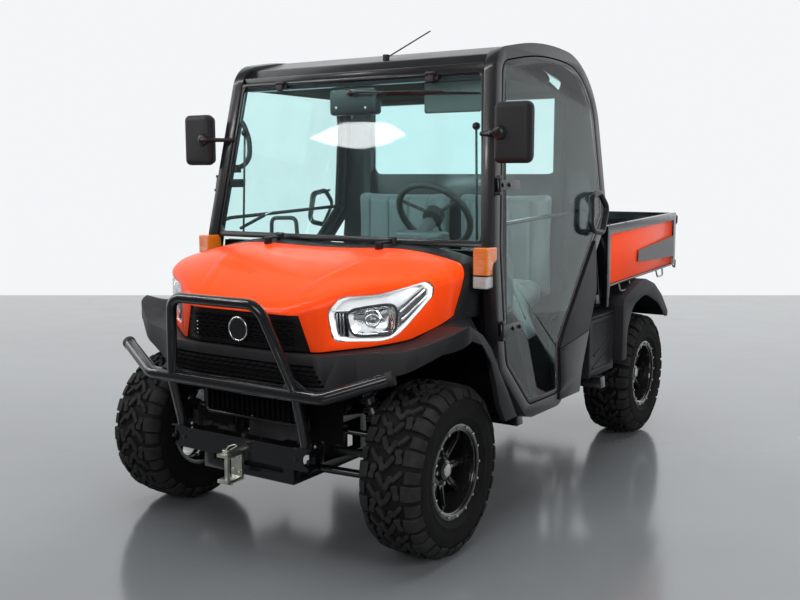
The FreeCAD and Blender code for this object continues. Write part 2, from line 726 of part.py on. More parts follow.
def arm_pair(side, axle_y):
    """Lower and upper arm of one wheel, from the frame to the eyes around the kingpin."""
    arms = []
    rows = (
        (RAIL_BOTTOM + RAIL_HEIGHT / 2, KNUCKLE_BOTTOM - KNUCKLE_GAP - EYE_HEIGHT, ARM_SPREAD, ARM_RADIUS),
        (UPPER_ARM_Z, KNUCKLE_TOP + KNUCKLE_GAP, UPPER_ARM_SPREAD, UPPER_ARM_RADIUS))
    inner_x = RAIL_X + RAIL_WIDTH
    for inner_z, eye_z, spread, radius in rows:
        kingpin = Vector(side * KINGPIN_X, axle_y, eye_z)
        eye = rod(kingpin, kingpin + Z_AXIS * EYE_HEIGHT, EYE_RADIUS)
        middle = kingpin + Z_AXIS * EYE_HEIGHT / 2
        legs = []
        for end in (-spread, spread):
            inner = Vector(side * (inner_x - radius), axle_y + end, inner_z)
            legs.append(rod(inner, middle, radius))
        arm = fused([eye] + legs)
        arm = arm.cut(rod(kingpin - Z_AXIS * OVERRUN, kingpin + Z_AXIS * (EYE_HEIGHT + OVERRUN),
                          KINGPIN_RADIUS + RUNNING_FIT))
        frame_side = box(0, side * inner_x, axle_y - OVERRUN - spread * 2, axle_y + OVERRUN + spread * 2,
                         inner_z - spread, inner_z + spread)
        knuckle_space = box(side * (KINGPIN_X - KNUCKLE_SWEEP), side * (KINGPIN_X + KNUCKLE_SWEEP),
                            axle_y - KNUCKLE_SWEEP, axle_y + KNUCKLE_SWEEP,
                            KNUCKLE_BOTTOM - KNUCKLE_GAP, KNUCKLE_TOP + KNUCKLE_GAP)
        arms.append(arm.cut(frame_side).cut(knuckle_space))
    return arms


def make_suspension_arms():
    arms = []
    for axle_y in (0.0, WHEELBASE):
        for side in (1, -1):
            arms += arm_pair(side, axle_y)
    return Part.makeCompound(arms)


def make_shocks():
    """Four shock absorbers, each between its lower arm and the frame's tower."""
    shocks = []
    for axle_y in (0.0, WHEELBASE):
        for side in (1, -1):
            low = Vector(side * SHOCK_LOW_X, axle_y + SHOCK_OFFSET, SHOCK_LOW_Z)
            top = Vector(side * SHOCK_TOP_X, axle_y + SHOCK_OFFSET, SHOCK_TOP_Z)
            body_start = top + (low - top) * SHOCK_BODY_SHARE
            body_end = top + (low - top) * (1 - SHOCK_BODY_SHARE) / 2
            eye = box(side * (RAIL_X + RAIL_WIDTH), top.x + side * SHOCK_EYE, top.y - SHOCK_EYE,
                      top.y + SHOCK_EYE, top.z - SHOCK_EYE, top.z + SHOCK_EYE)
            shock = fused([rod(low, top, SHOCK_ROD_RADIUS), rod(body_start, body_end, SHOCK_BODY_RADIUS),
                           eye])
            for arm in arm_pair(side, axle_y):
                shock = shock.cut(arm)
            pieces = sorted(shock.Solids, key=lambda solid: solid.Volume)
            shocks.append(pieces[-1])
    return Part.makeCompound(shocks)


def make_chassis():
    """Two rails with cross members, body beams, towers for the suspension and posts for the bed."""
    outer = RAIL_X + RAIL_WIDTH
    rail_top = RAIL_BOTTOM + RAIL_HEIGHT
    beam_top = BEAM_BOTTOM + BEAM_HEIGHT
    half_cross = CROSS_WIDTH / 2
    parts = []
    for y in (FRONT_CROSS_Y, FRONT_BEAM_Y, REAR_BEAM_Y, LIFT_CROSS_Y, LAST_CROSS_Y):
        parts.append(box(-RAIL_X, RAIL_X, y - half_cross, y + half_cross, RAIL_BOTTOM, rail_top))
    for side in (1, -1):
        inner_x = side * RAIL_X
        outer_x = side * outer
        parts.append(box(inner_x, outer_x, RAIL_FRONT, RAIL_REAR, RAIL_BOTTOM, rail_top))
        parts.append(box(inner_x, outer_x, RAIL_FRONT, RAIL_FRONT + half_cross, rail_top, CHANNEL_TOP))
        for y in (FRONT_BEAM_Y, REAR_BEAM_Y):
            parts.append(box(inner_x, outer_x, y - half_cross, y + half_cross, rail_top, beam_top))
        for axle_y in (0.0, WHEELBASE):
            tower_x = side * (outer - TOWER_POST)
            for end in (-TOWER_REACH, TOWER_REACH - TOWER_POST):
                parts.append(box(tower_x, outer_x, axle_y + end, axle_y + end + TOWER_POST, rail_top,
                                 TOWER_TOP))
            parts.append(box(tower_x, outer_x, axle_y - TOWER_REACH, axle_y + TOWER_REACH,
                             TOWER_TOP - TOWER_POST, TOWER_TOP))
            shock_y = axle_y + SHOCK_OFFSET
            parts.append(box(tower_x, outer_x, shock_y - TOWER_POST / 2, shock_y + TOWER_POST / 2,
                             TOWER_TOP, SHOCK_TOWER_TOP))
        rest_top = BED_PIN_Z - RIB_HEIGHT / 2 - REST_GAP - (BED_PIN_Y - REST_Y) * math.tan(math.radians(BED_RAKE))
        parts.append(box(side * RIB_INNER, side * (RIB_INNER + RIB_WIDTH), REST_Y - half_cross,
                         REST_Y + half_cross,
                         RAIL_BOTTOM, rest_top - RIB_HEIGHT / 4))
        parts.append(box(outer_x, side * (RIB_INNER + RIB_WIDTH), REST_Y - half_cross, REST_Y + half_cross,
                         RAIL_BOTTOM, rail_top))
        post = box(inner_x, outer_x, BED_PIN_Y - POST_END_RADIUS, BED_PIN_Y + POST_END_RADIUS, rail_top,
                   BED_PIN_Z)
        pin_start = Vector(inner_x, BED_PIN_Y, BED_PIN_Z)
        cap = rod(pin_start, pin_start + X_AXIS * side * RAIL_WIDTH, POST_END_RADIUS)
        pin = rod(pin_start, Vector(side * (RIB_INNER + RIB_WIDTH), BED_PIN_Y, BED_PIN_Z), BED_PIN_RADIUS)
        parts += [post, cap, pin]
    for y in (FRONT_BEAM_Y, REAR_BEAM_Y):
        parts.append(box(-HOOD_HALF_WIDTH * 2, HOOD_HALF_WIDTH * 2, y - half_cross, y + half_cross,
                         BEAM_BOTTOM, beam_top))
    lamp_top = LAMP_BAR_Z + CROSS_WIDTH / 2
    parts.append(box(-LAMP_BAR_REACH, LAMP_BAR_REACH, BED_PIN_Y - POST_END_RADIUS,
                     BED_PIN_Y + POST_END_RADIUS,
                     LAMP_BAR_Z - CROSS_WIDTH / 2, lamp_top))
    lug_inner = LIFT_EYE_WIDTH / 2 + LIFT_LUG_GAP
    lug_outer = lug_inner + LIFT_LUG
    for side in (1, -1):
        parts.append(box(side * lug_inner, side * lug_outer, LIFT_PIVOT_Y - LIFT_PIN_RADIUS * 2,
                         LIFT_PIVOT_Y + LIFT_PIN_RADIUS, RAIL_BOTTOM, LIFT_PIVOT_Z + LIFT_PIN_RADIUS * 2))
    parts.append(rod(Vector(-lug_outer, LIFT_PIVOT_Y, LIFT_PIVOT_Z), Vector(lug_outer, LIFT_PIVOT_Y,
                                                                            LIFT_PIVOT_Z),
                     LIFT_PIN_RADIUS))
    return between_sides(fused(parts), TUBE)


def make_engine():
    """The engine and gearbox as one block on the rails."""
    return box(-ENGINE_REACH, ENGINE_REACH, ENGINE_FRONT, ENGINE_REAR, RAIL_BOTTOM + RAIL_HEIGHT, ENGINE_TOP)


def make_drive():
    """Front and rear gear cases with their half shafts."""
    rail_top = RAIL_BOTTOM + RAIL_HEIGHT
    cases = []
    for axle_y in (0.0, WHEELBASE):
        case = box(-GEAR_REACH, GEAR_REACH, axle_y - GEAR_LENGTH / 2, axle_y + GEAR_LENGTH / 2, rail_top,
                   rail_top + GEAR_HEIGHT)
        shafts = []
        for side in (1, -1):
            start = Vector(0, axle_y, TYRE_RADIUS)
            end = Vector(side * (KINGPIN_X - KNUCKLE_SWEEP), axle_y, TYRE_RADIUS)
            shafts.append(rod(start, end, SHAFT_RADIUS))
            shafts.append(rod(end - X_AXIS * side * BOOT_LENGTH, end, BOOT_RADIUS))
        cases.append(fused([case] + shafts))
    return Part.makeCompound(cases)


def make_front_guard():
    """Channel with two uprights that carry the wide bar and the hoop over the grille."""
    block = box(-CHANNEL_REACH, CHANNEL_REACH, CHANNEL_FRONT, CHANNEL_FRONT + CHANNEL_DEPTH, CHANNEL_BOTTOM,
                CHANNEL_TOP)
    hollow = box(-CHANNEL_REACH - OVERRUN, CHANNEL_REACH + OVERRUN, CHANNEL_FRONT + CHANNEL_WALL,
                 CHANNEL_FRONT + CHANNEL_DEPTH + OVERRUN, CHANNEL_BOTTOM + CHANNEL_WALL,
                 CHANNEL_TOP - CHANNEL_WALL)
    middle_z = (CHANNEL_BOTTOM + CHANNEL_TOP) / 2
    parts = [block.cut(hollow)]
    for side in (1, -1):
        foot = Vector(side * HOOP_FOOT_X, UPRIGHT_Y, CHANNEL_TOP - CHANNEL_WALL)
        parts.append(rod(foot, Vector(side * HOOP_FOOT_X, BAR_Y, BAR_Z), UPRIGHT_RADIUS))
    bar_points = [
        (Vector(BAR_END_X, BAR_END_Y, BAR_END_Z), 0.0), (Vector(BAR_BEND_X, BAR_Y, BAR_Z), BAR_BEND_RADIUS),
        (Vector(-BAR_BEND_X, BAR_Y, BAR_Z), BAR_BEND_RADIUS), (Vector(-BAR_END_X, BAR_END_Y, BAR_END_Z), 0.0)]
    hoop_points = [
        (Vector(HOOP_FOOT_X, BAR_Y, BAR_Z), 0.0), (Vector(HOOP_TOP_X, HOOP_TOP_Y, HOOP_TOP_Z),
                                                   HOOP_BEND_RADIUS),
        (Vector(-HOOP_TOP_X, HOOP_TOP_Y, HOOP_TOP_Z), HOOP_BEND_RADIUS), (Vector(-HOOP_FOOT_X, BAR_Y,
                                                                                 BAR_Z), 0.0)]
    parts.append(bent_bar(bar_points, BAR_RADIUS))
    parts.append(bent_bar(hoop_points, HOOP_RADIUS))
    guard = fused(parts)
    for side in (1, -1):
        notch = Vector(side * CHANNEL_REACH, CHANNEL_FRONT - OVERRUN, middle_z)
        guard = guard.cut(rod(notch, notch + Y_AXIS * CHANNEL_DEPTH * 3, NOTCH))
    return guard


def make_hitches():
    """Clevis with its pin on the front channel, and the rear drawbar with its hole."""
    plate = box(-CLEVIS_REACH, CLEVIS_REACH, CHANNEL_FRONT - CLEVIS_PLATE, CHANNEL_FRONT, CLEVIS_BOTTOM,
                CLEVIS_TOP)
    parts = [plate]
    for z in (CLEVIS_BOTTOM, CLEVIS_TOP - CLEVIS_PLATE):
        parts.append(box(-CLEVIS_REACH, CLEVIS_REACH, CLEVIS_FRONT, CHANNEL_FRONT - CLEVIS_PLATE, z,
                         z + CLEVIS_PLATE))
    pin_foot = Vector(0, CLEVIS_PIN_Y, CLEVIS_BOTTOM - CLEVIS_PLATE / 2)
    parts.append(rod(pin_foot, pin_foot + Z_AXIS * (CLEVIS_TOP - CLEVIS_BOTTOM + CLEVIS_PLATE),
                     CLEVIS_PIN_RADIUS))
    clevis = fused(parts)
    rail_top = RAIL_BOTTOM + RAIL_HEIGHT
    drawbar = box(-DRAWBAR_WIDTH / 2, DRAWBAR_WIDTH / 2, LAST_CROSS_Y - CROSS_WIDTH / 2, DRAWBAR_REAR,
                  rail_top,
                  rail_top + DRAWBAR_THICKNESS)
    hole = Vector(0, DRAWBAR_HOLE_Y, rail_top - OVERRUN)
    drawbar = drawbar.cut(rod(hole, hole + Z_AXIS * OVERRUN * 3, DRAWBAR_HOLE))
    return Part.makeCompound([clevis, drawbar])


def hood_plan(inset):
    """Plan outline of the hood and cowl, moved in by an inset."""
    points = placed(HOOD_PLAN_SHARES, (0.0, COWL_REAR), (HOOD_HALF_WIDTH, -HOOD_REACH), HOOD_CORNER)
    face = plan_face(symmetrical(points), FORM_BOTTOM)
    return face.makeOffset2D(-inset) if inset else face


def skirt_plan(inset):
    """Plan outline of the fascia and fenders, moved in by an inset."""
    points = placed(SKIRT_PLAN_SHARES, (0.0, COWL_REAR), (SKIRT_HALF_WIDTH, -SKIRT_REACH), HOOD_CORNER)
    face = plan_face(symmetrical(points), FORM_BOTTOM)
    return face.makeOffset2D(-inset) if inset else face


def under_crest(drop):
    """Everything under the hood's crowned top, lowered by a drop."""
    rows = []
    for back, rise in CREST_SHARES:
        y = COWL_REAR - back * HOOD_REACH
        crest = CREST_BASE + rise * CREST_RISE - drop
        half = [Vector(x * CREST_WIDTH, y, crest - fall * CREST_DROP) for x, fall in CROSS_CREST_SHARES]
        rows.append([Vector(-p.x, p.y, p.z) for p in reversed(half[1:])] + half)
    crown = Part.BSplineSurface()
    crown.interpolate(rows)
    return crown.toShape().extrude(Z_AXIS * (FORM_BOTTOM - FORM_TOP))


def hood_form(inset):
    """Solid body of the hood and cowl, with its upper edge rounded."""
    block = hood_plan(inset).extrude(Z_AXIS * (FORM_TOP - FORM_BOTTOM))
    form = block.common(under_crest(inset)).Solids[0]
    crown = max(form.Faces, key=lambda face: face.BoundBox.ZMax)
    rim = [edge for edge in crown.Edges if edge.BoundBox.YMin < COWL_REAR - OVERRUN]
    return form.makeFillet(HOOD_ROUND - inset, rim)


def hood_region(growth):
    """Side view of the hood: its lower edge, its sloping rear edge and all above."""
    points = placed(HOOD_LIP_SHARES, (COWL_REAR, CREST_BASE), (-HOOD_REACH, CREST_RISE))
    face = side_face(points, -SKIRT_HALF_WIDTH - OVERRUN)
    if growth:
        face = face.makeOffset2D(growth)
    return face.extrude(X_AXIS * (SKIRT_HALF_WIDTH + OVERRUN) * 2)


def grille_prism(inset):
    """The upper grille's front outline as a prism through the hood's front wall."""
    foot = GRILLE_FOOT_X - inset
    top = GRILLE_TOP_X - inset
    low = GRILLE_BOTTOM - OVERRUN if inset == 0 else GRILLE_BOTTOM + inset
    half = [(foot, low), (top, GRILLE_TOP - inset)]
    front = COWL_REAR - HOOD_REACH - OVERRUN
    return front_prism(symmetrical(half), front, front + OVERRUN + GRILLE_DEPTH)


def lamp_prism(inset):
    """The left headlamp's outline as a prism through the hood's corner."""
    points = placed(LAMP_SHARES, (LAMP_START, LAMP_LOW), (LAMP_WIDTH, LAMP_HEIGHT), LAMP_CORNER)
    places = []
    throw = Vector(LAMP_ACROSS, -LAMP_ALONG, 0)
    along = Vector(LAMP_ALONG, LAMP_ACROSS, 0)
    middle = Vector(LAMP_CENTRE_X, LAMP_CENTRE_Y, 0)
    base = throw * (middle.dot(throw) - LAMP_THROW)
    for reach, z, radius in points:
        places.append((base + along * reach + Z_AXIS * z, radius))
    face = Part.Face(rounded_wire(places))
    if inset:
        face = face.makeOffset2D(-inset)
    return face.extrude(throw * LAMP_THROW * 2)


def make_hood():
    """Crowned shell with the grille's notch and the two lamp openings."""
    shell = hood_form(0.0).cut(hood_form(WALL)).common(hood_region(0.0))
    shell = shell.cut(grille_prism(0.0))
    lamp = lamp_prism(0.0)
    shell = shell.cut(lamp).cut(mirrored(lamp))
    return max(shell.Solids, key=lambda solid: solid.Volume)


def make_headlamps():
    """Two lamp bodies that follow the hood's curve and fill its openings."""
    skin = hood_form(LAMP_INSET).cut(hood_form(LAMP_INSET + LAMP_DEPTH))
    lamp = skin.common(lamp_prism(0.0))
    return both_sides(max(lamp.Solids, key=lambda solid: solid.Volume))


def make_grille():
    """Curved grille panel with level slots, and a plain round boss in its middle."""
    skin = hood_form(WALL).cut(hood_form(WALL + GRILLE_SHELL))
    panel = skin.common(grille_prism(0.0)).common(hood_region(0.0))
    pitch = (GRILLE_TOP - GRILLE_BOTTOM - GRILLE_RIM * 2) / GRILLE_SLOTS
    front = COWL_REAR - HOOD_REACH - OVERRUN
    for index in range(GRILLE_SLOTS):
        z = GRILLE_BOTTOM + GRILLE_RIM + pitch * (index + 0.5)
        reach = GRILLE_TOP_X - GRILLE_RIM
        slot = box(-reach, reach, front, front + OVERRUN + GRILLE_DEPTH, z - GRILLE_SLOT / 2,
                   z + GRILLE_SLOT / 2)
        panel = panel.cut(slot)
    middle = Vector(0, COWL_REAR - HOOD_REACH + WALL + GRILLE_SHELL, (GRILLE_TOP + GRILLE_BOTTOM) / 2)
    boss = rod(middle, middle - Y_AXIS * GRILLE_SHELL * 2, EMBLEM_RADIUS)
    return fused([max(panel.Solids, key=lambda solid: solid.Volume), boss])


def hood_hinge_line():
    """Height of the hood's hinge pins over the cowl."""
    return CREST_BASE + CREST_RISE + HOOD_PIN_LIFT


def make_cowl(screen_frame):
    """Panel between the hood and the windscreen, with the pins of the hood's hinges."""
    shell = hood_form(0.0).cut(hood_form(WALL)).cut(hood_region(MOVING_GAP))
    front_limit = COWL_REAR - HOOD_REACH / 2
    upper = box(-SKIRT_HALF_WIDTH, SKIRT_HALF_WIDTH, front_limit, COWL_REAR, CREST_BASE + CREST_RISE / 4,
                FORM_TOP)
    cowl = max(shell.common(upper).Solids, key=lambda solid: solid.Volume)
    pins = []
    for side in (1, -1):
        z = hood_hinge_line()
        start = side * (HOOD_PIN_X + HOOD_HINGE_WIDTH / 2)
        lug = box(start, start + side * HOOD_EYE_RADIUS, HOOD_PIN_Y - HOOD_EYE_RADIUS,
                  HOOD_PIN_Y + HOOD_EYE_RADIUS,
                  z - HOOD_EYE_RADIUS * 4, z + HOOD_EYE_RADIUS)
        pin = rod(Vector(side * (HOOD_PIN_X - HOOD_HINGE_WIDTH / 2), HOOD_PIN_Y, z), Vector(start,
                                                                                            HOOD_PIN_Y, z),
                  HOOD_PIN_RADIUS)
        pins += [lug, pin]
    cowl = fused([cowl] + pins).cut(screen_frame)
    return between_sides(cowl, TUBE)


def make_hood_hinges(hood):
    """Two straps on the hood, each with an eye around a pin on the cowl."""
    straps = []
    for side in (1, -1):
        z = hood_hinge_line()
        inner = side * (HOOD_PIN_X - HOOD_HINGE_WIDTH / 2)
        outer = side * (HOOD_PIN_X + HOOD_HINGE_WIDTH / 2 - CURVED_GAP)
        eye = rod(Vector(inner, HOOD_PIN_Y, z), Vector(outer, HOOD_PIN_Y, z), HOOD_EYE_RADIUS)
        strap = box(inner, outer, HOOD_PIN_Y - HOOD_STRAP_REACH, HOOD_PIN_Y, z - HOOD_EYE_RADIUS,
                    z - HOOD_EYE_RADIUS + HOOD_STRAP_THICKNESS)
        foot = box(inner, outer, HOOD_PIN_Y - HOOD_STRAP_REACH,
                   HOOD_PIN_Y - HOOD_STRAP_REACH + HOOD_HINGE_WIDTH,
                   z - HOOD_EYE_RADIUS * 4, z - HOOD_EYE_RADIUS + HOOD_STRAP_THICKNESS)
        bore = rod(Vector(inner - side * OVERRUN, HOOD_PIN_Y, z), Vector(outer + side * OVERRUN,
                                                                         HOOD_PIN_Y, z),
                   HOOD_PIN_RADIUS + RUNNING_FIT)
        piece = fused([eye, strap, foot]).cut(bore).cut(hood)
        straps.append(max(piece.Solids, key=lambda solid: solid.Volume))
    return Part.makeCompound(straps)


def fender_top(drop):
    """Everything under the fenders' and fascia's top, which falls from the hood's side to the outer edge."""
    start = (COWL_REAR, FENDER_LOW)
    size = (-SKIRT_REACH, FENDER_RISE)
    inner = placed(FENDER_INNER_SHARES, start, size)
    outer = placed(FENDER_OUTER_SHARES, start, size)
    wires = []
    for x, points in ((-SKIRT_HALF_WIDTH, outer), (-FENDER_INNER_X, inner), (FENDER_INNER_X, inner),
                      (SKIRT_HALF_WIDTH, outer)):
        places = [Vector(x, p[0], p[1] - drop) for p in points]
        low = FENDER_LOW - OVERRUN
        places += [Vector(x, points[-1][0], low), Vector(x, points[0][0], low)]
        wires.append(Part.makePolygon(places + [places[0]]))
    return Part.makeLoft(wires, True, True)


def skirt_form(inset):
    """Solid body of fascia and fenders down to the fenders' tips."""
    lower = skirt_plan(inset)
    lower.translate(Z_AXIS * (FENDER_LOW - FORM_BOTTOM - OVERRUN))
    block = lower.extrude(Z_AXIS * (FORM_TOP - FENDER_LOW + OVERRUN))
    return block.common(fender_top(inset))


def arch_space():
    """Everything under the fascia's lower edge and the wheel arches' lips."""
    points = placed(ARCH_SHARES, (COWL_REAR, FENDER_LOW), (-ARCH_SPAN, FENDER_RISE))
    low = FENDER_LOW - OVERRUN * 2
    points += [(points[-1][0], low, 0.0), (points[0][0], low, 0.0)]
    return side_prism(points, -SKIRT_HALF_WIDTH - OVERRUN, SKIRT_HALF_WIDTH + OVERRUN)


def skirt_shell():
    """Thin shell of fascia and fenders, open below and open to the engine bay."""
    shell = skirt_form(0.0).cut(skirt_form(WALL)).cut(arch_space())
    hood_space = hood_plan(0.0).makeOffset2D(MOVING_GAP).extrude(Z_AXIS * (FORM_TOP - FORM_BOTTOM))
    shell = shell.cut(hood_space.common(hood_region(MOVING_GAP)))
    bay = hood_plan(BAY_FLANGE).extrude(Z_AXIS * (FORM_TOP - FORM_BOTTOM))
    shell = shell.cut(bay)
    rear = box(-SKIRT_HALF_WIDTH - OVERRUN, SKIRT_HALF_WIDTH + OVERRUN, COWL_REAR - OVERRUN,
               COWL_REAR + OVERRUN,
               FENDER_LOW - OVERRUN, FORM_TOP)
    return shell.cut(rear)


def make_fascia():
    """Black front panel under the hood, with the slots of the lower intake."""
    front = COWL_REAR - SKIRT_REACH - OVERRUN
    region = box(-SKIRT_HALF_WIDTH, SKIRT_HALF_WIDTH, front, SEAM_Y, FENDER_LOW, FORM_TOP)
    fascia = skirt_shell().common(region)
    pitch = (INTAKE_TOP - INTAKE_BOTTOM) / INTAKE_SLOTS
    for index in range(INTAKE_SLOTS):
        z = INTAKE_BOTTOM + pitch * (index + 0.5)
        reach = INTAKE_FOOT_X + (INTAKE_TOP_X - INTAKE_FOOT_X) * (index + 0.5) / INTAKE_SLOTS
        fascia = fascia.cut(box(-reach, reach, front, SEAM_Y - OVERRUN * 3, z - INTAKE_SLOT / 2,
                                z + INTAKE_SLOT / 2))
    return max(fascia.Solids, key=lambda solid: solid.Volume)


def make_front_fenders(cowl):
    """Fender of each side: flared top, the lip's strip behind the wheel and the arch's liner."""
    region = box(0, SKIRT_HALF_WIDTH + OVERRUN, SEAM_Y, COWL_REAR, FENDER_LOW - OVERRUN, FORM_TOP)
    shell = skirt_shell().common(region)
    top = max(shell.Solids, key=lambda solid: solid.Volume)
    strip_points = placed(STRIP_SHARES, (COWL_REAR, FENDER_LOW), (-SKIRT_REACH, FENDER_RISE))
    strip = side_prism(strip_points, SKIRT_HALF_WIDTH - STRIP_THICKNESS, SKIRT_HALF_WIDTH)
    centre = Vector(LINER_INNER_X, 0, TYRE_RADIUS)
    outer_x = SKIRT_HALF_WIDTH - WALL
    ring = Part.makeCylinder(LINER_RADIUS + WALL, outer_x - LINER_INNER_X, centre, X_AXIS,
                             LINER_TO - LINER_FROM)
    hollow = Part.makeCylinder(LINER_RADIUS, outer_x - LINER_INNER_X + OVERRUN, centre, X_AXIS)
    ring.rotate(centre, X_AXIS, LINER_FROM)
    liner = ring.cut(hollow)
    inside = skirt_form(WALL / 2)
    tail = side_prism(strip_points, LINER_INNER_X, SKIRT_HALF_WIDTH)
    liner_kept = liner.common(inside.fuse(tail))
    fender = fused([top, strip] + liner_kept.Solids).cut(cowl)
    return both_sides(max(fender.Solids, key=lambda solid: solid.Volume))


def make_cab_frame():
    """Tube rings of both cab sides with their cross tubes and the pins of the door hinges."""
    ring = opening_face(TUBE).cut(opening_face(0.0)).extrude(X_AXIS * -TUBE)
    parts = [ring]
    for z in (HINGE_LOW_Z, HINGE_HIGH_Z):
        low = at_height(z - HINGE_EYE_HEIGHT / 2 - HINGE_LUG)
        high = at_height(z + HINGE_EYE_HEIGHT / 2 + HINGE_LUG)
        parts.append(rod(low, high, HINGE_PIN_RADIUS))
        for start, end in ((low, at_height(z - HINGE_EYE_HEIGHT / 2)),
                           (at_height(z + HINGE_EYE_HEIGHT / 2), high)):
            lug = box(-HINGE_OUT, HINGE_OUT + HINGE_EYE_RADIUS, start.y - HINGE_EYE_RADIUS,
                      start.y + HINGE_EYE_RADIUS, start.z, end.z)
            parts.append(lug)
    side = in_cab_plane(fused(parts))
    header = box(-PLANE_X, PLANE_X, SCREEN_FOOT_Y + HEADER_BEHIND_SCREEN,
                 SCREEN_FOOT_Y + HEADER_BEHIND_SCREEN + CROSS_TUBE,
                 ROOF_LOW - CROSS_TUBE / 2, ROOF_LOW + CROSS_TUBE / 2)
    rear_top = box(-PLANE_X, PLANE_X, REAR_WALL_Y - CROSS_TUBE, REAR_WALL_Y, ROOF_LOW - CROSS_TUBE,
                   ROOF_LOW)
    rear_low = box(-PANEL_REACH, PANEL_REACH, REAR_WALL_Y - CROSS_TUBE, REAR_WALL_Y,
                   SEAT_BASE_TOP + SHEET, SEAT_BASE_TOP + SHEET + CROSS_TUBE)
    sides = [side, mirrored(side)]
    bars = [between_sides(bar, TUBE) for bar in (header, rear_top, rear_low)]
    posts = [box(side_sign * REAR_POST_X, side_sign * (REAR_POST_X + CROSS_TUBE), REAR_WALL_Y - CROSS_TUBE,
                 REAR_WALL_Y, BEAM_BOTTOM + BEAM_HEIGHT, ROOF_LOW) for side_sign in (1, -1)]
    return fused(sides + bars + posts)


def make_quarter_panels():
    """Moulded panel behind each door, on the outer face of the cab's tubes."""
    points = placed(QUARTER_SHARES, (OPENING_START, OPENING_BOTTOM), (OPENING_LENGTH, OPENING_HEIGHT))
    sheet = side_face(points).extrude(X_AXIS * QUARTER_THICKNESS)
    clear = opening_face(DOOR_GAP).extrude(X_AXIS * QUARTER_THICKNESS * 2)
    clear.translate(X_AXIS * -QUARTER_THICKNESS / 2)
    return both_sides(in_cab_plane(sheet.cut(clear)))


def make_roof():
    """Roof panel between the cab's side rings."""
    points = placed(ROOF_SHARES, (ROOF_FRONT, ROOF_LOW), (ROOF_LENGTH, ROOF_RISE), ROOF_CORNER)
    outline = side_face(points, -PLANE_X)
    inner = outline.makeOffset2D(-ROOF_THICKNESS)
    below = box(-PLANE_X * 2, PLANE_X * 2, ROOF_FRONT - OVERRUN, ROOF_FRONT + ROOF_LENGTH + OVERRUN,
                ROOF_LOW - OVERRUN, ROOF_LOW + ROOF_THICKNESS)
    inner_block = inner.extrude(X_AXIS * PLANE_X * 2)
    roof = outline.extrude(X_AXIS * PLANE_X * 2).cut(inner_block).cut(below)
    return between_sides(roof, TUBE)


def screen_face(low, top, growth):
    """The windscreen's outline in its upright plane, grown by a margin at the sides."""
    half = [(SCREEN_FOOT_X + growth, SCREEN_FOOT_Z - low, SCREEN_CORNER),
            (SCREEN_TOP_X + growth, SCREEN_FOOT_Z + SCREEN_HEIGHT + top, SCREEN_CORNER)]
    return front_face(symmetrical(half), SCREEN_FOOT_Y)


def raked(shape):
    """The windscreen's upright pieces leaned back to its rake."""
    shape.rotate(Vector(0, SCREEN_FOOT_Y, SCREEN_FOOT_Z), X_AXIS, -SCREEN_RAKE)
    return shape


def make_windscreen_frame():
    """Frame of the opening windscreen between the front pillars."""
    face = screen_face(SCREEN_FRAME_LOW, SCREEN_FRAME_TOP, TUBE).cut(screen_face(0.0, 0.0, 0.0))
    block = face.extrude(Y_AXIS * SCREEN_FRAME)
    block.translate(Y_AXIS * -SCREEN_FRAME / 2)
    return between_sides(raked(block), TUBE)


def make_windscreen_glass():
    pane = screen_face(0.0, 0.0, 0.0).extrude(Y_AXIS * SCREEN_GLASS)
    pane.translate(Y_AXIS * -SCREEN_GLASS / 2)
    return raked(pane)


def make_floor_tub(cab_frame):
    """Bent sheet: firewall, toe board, floor and the base under the seats."""
    top = BEAM_BOTTOM + BEAM_HEIGHT
    outer = [(FIREWALL_Y, FIREWALL_TOP), (FIREWALL_Y, FIREWALL_LOW), (TOE_Y, TOE_Z), (TOE_Y, top),
             (SEAT_BASE_FRONT + SHEET, top), (SEAT_BASE_FRONT + SHEET, SEAT_BASE_TOP - SHEET),
             (REAR_WALL_Y, SEAT_BASE_TOP - SHEET), (REAR_WALL_Y, SEAT_BASE_TOP), (SEAT_BASE_FRONT,
                                                                                  SEAT_BASE_TOP),
             (SEAT_BASE_FRONT, top + SHEET), (TOE_Y + SHEET, top + SHEET), (TOE_Y + SHEET, TOE_Z + SHEET / 2),
             (FIREWALL_Y + SHEET, FIREWALL_LOW + SHEET / 2), (FIREWALL_Y + SHEET, FIREWALL_TOP)]
    sheet = side_prism(outer, -SKIRT_HALF_WIDTH, SKIRT_HALF_WIDTH)
    return between_sides(sheet, TUBE).cut(cab_frame)


def make_dashboard():
    """Dashboard between the front pillars, behind the firewall."""
    front = FIREWALL_Y + SHEET
    depth = DASH_REAR - front
    points = [(front, DASH_TOP), (front + depth * DASH_TOP_SHARE, DASH_TOP - SHEET * 3),
              (DASH_REAR, DASH_TOP - depth / 3), (front + depth * DASH_LOW_SHARE, DASH_LOW), (front,
                                                                                              DASH_LOW)]
    block = side_prism(points, -SKIRT_HALF_WIDTH, SKIRT_HALF_WIDTH)
    return between_sides(block, TUBE)


def column_axis():
    """The steering wheel's centre and the direction down its column."""
    tilt = math.radians(WHEEL_TILT)
    return Vector(WHEEL_X, WHEEL_Y, WHEEL_Z), Vector(0, -math.cos(tilt), -math.sin(tilt))


def make_steering_column(dashboard):
    """Column from the dashboard to the wheel's hub, bored for the wheel's stub."""
    centre, down = column_axis()
    start = centre + down * COLUMN_START
    column = rod(start, centre + down * COLUMN_LENGTH, COLUMN_RADIUS).cut(dashboard)
    column = max(column.Solids, key=lambda solid: solid.CenterOfMass.z)
    return column.cut(rod(start, start + down * STUB_DEPTH, STUB_RADIUS + RUNNING_FIT))


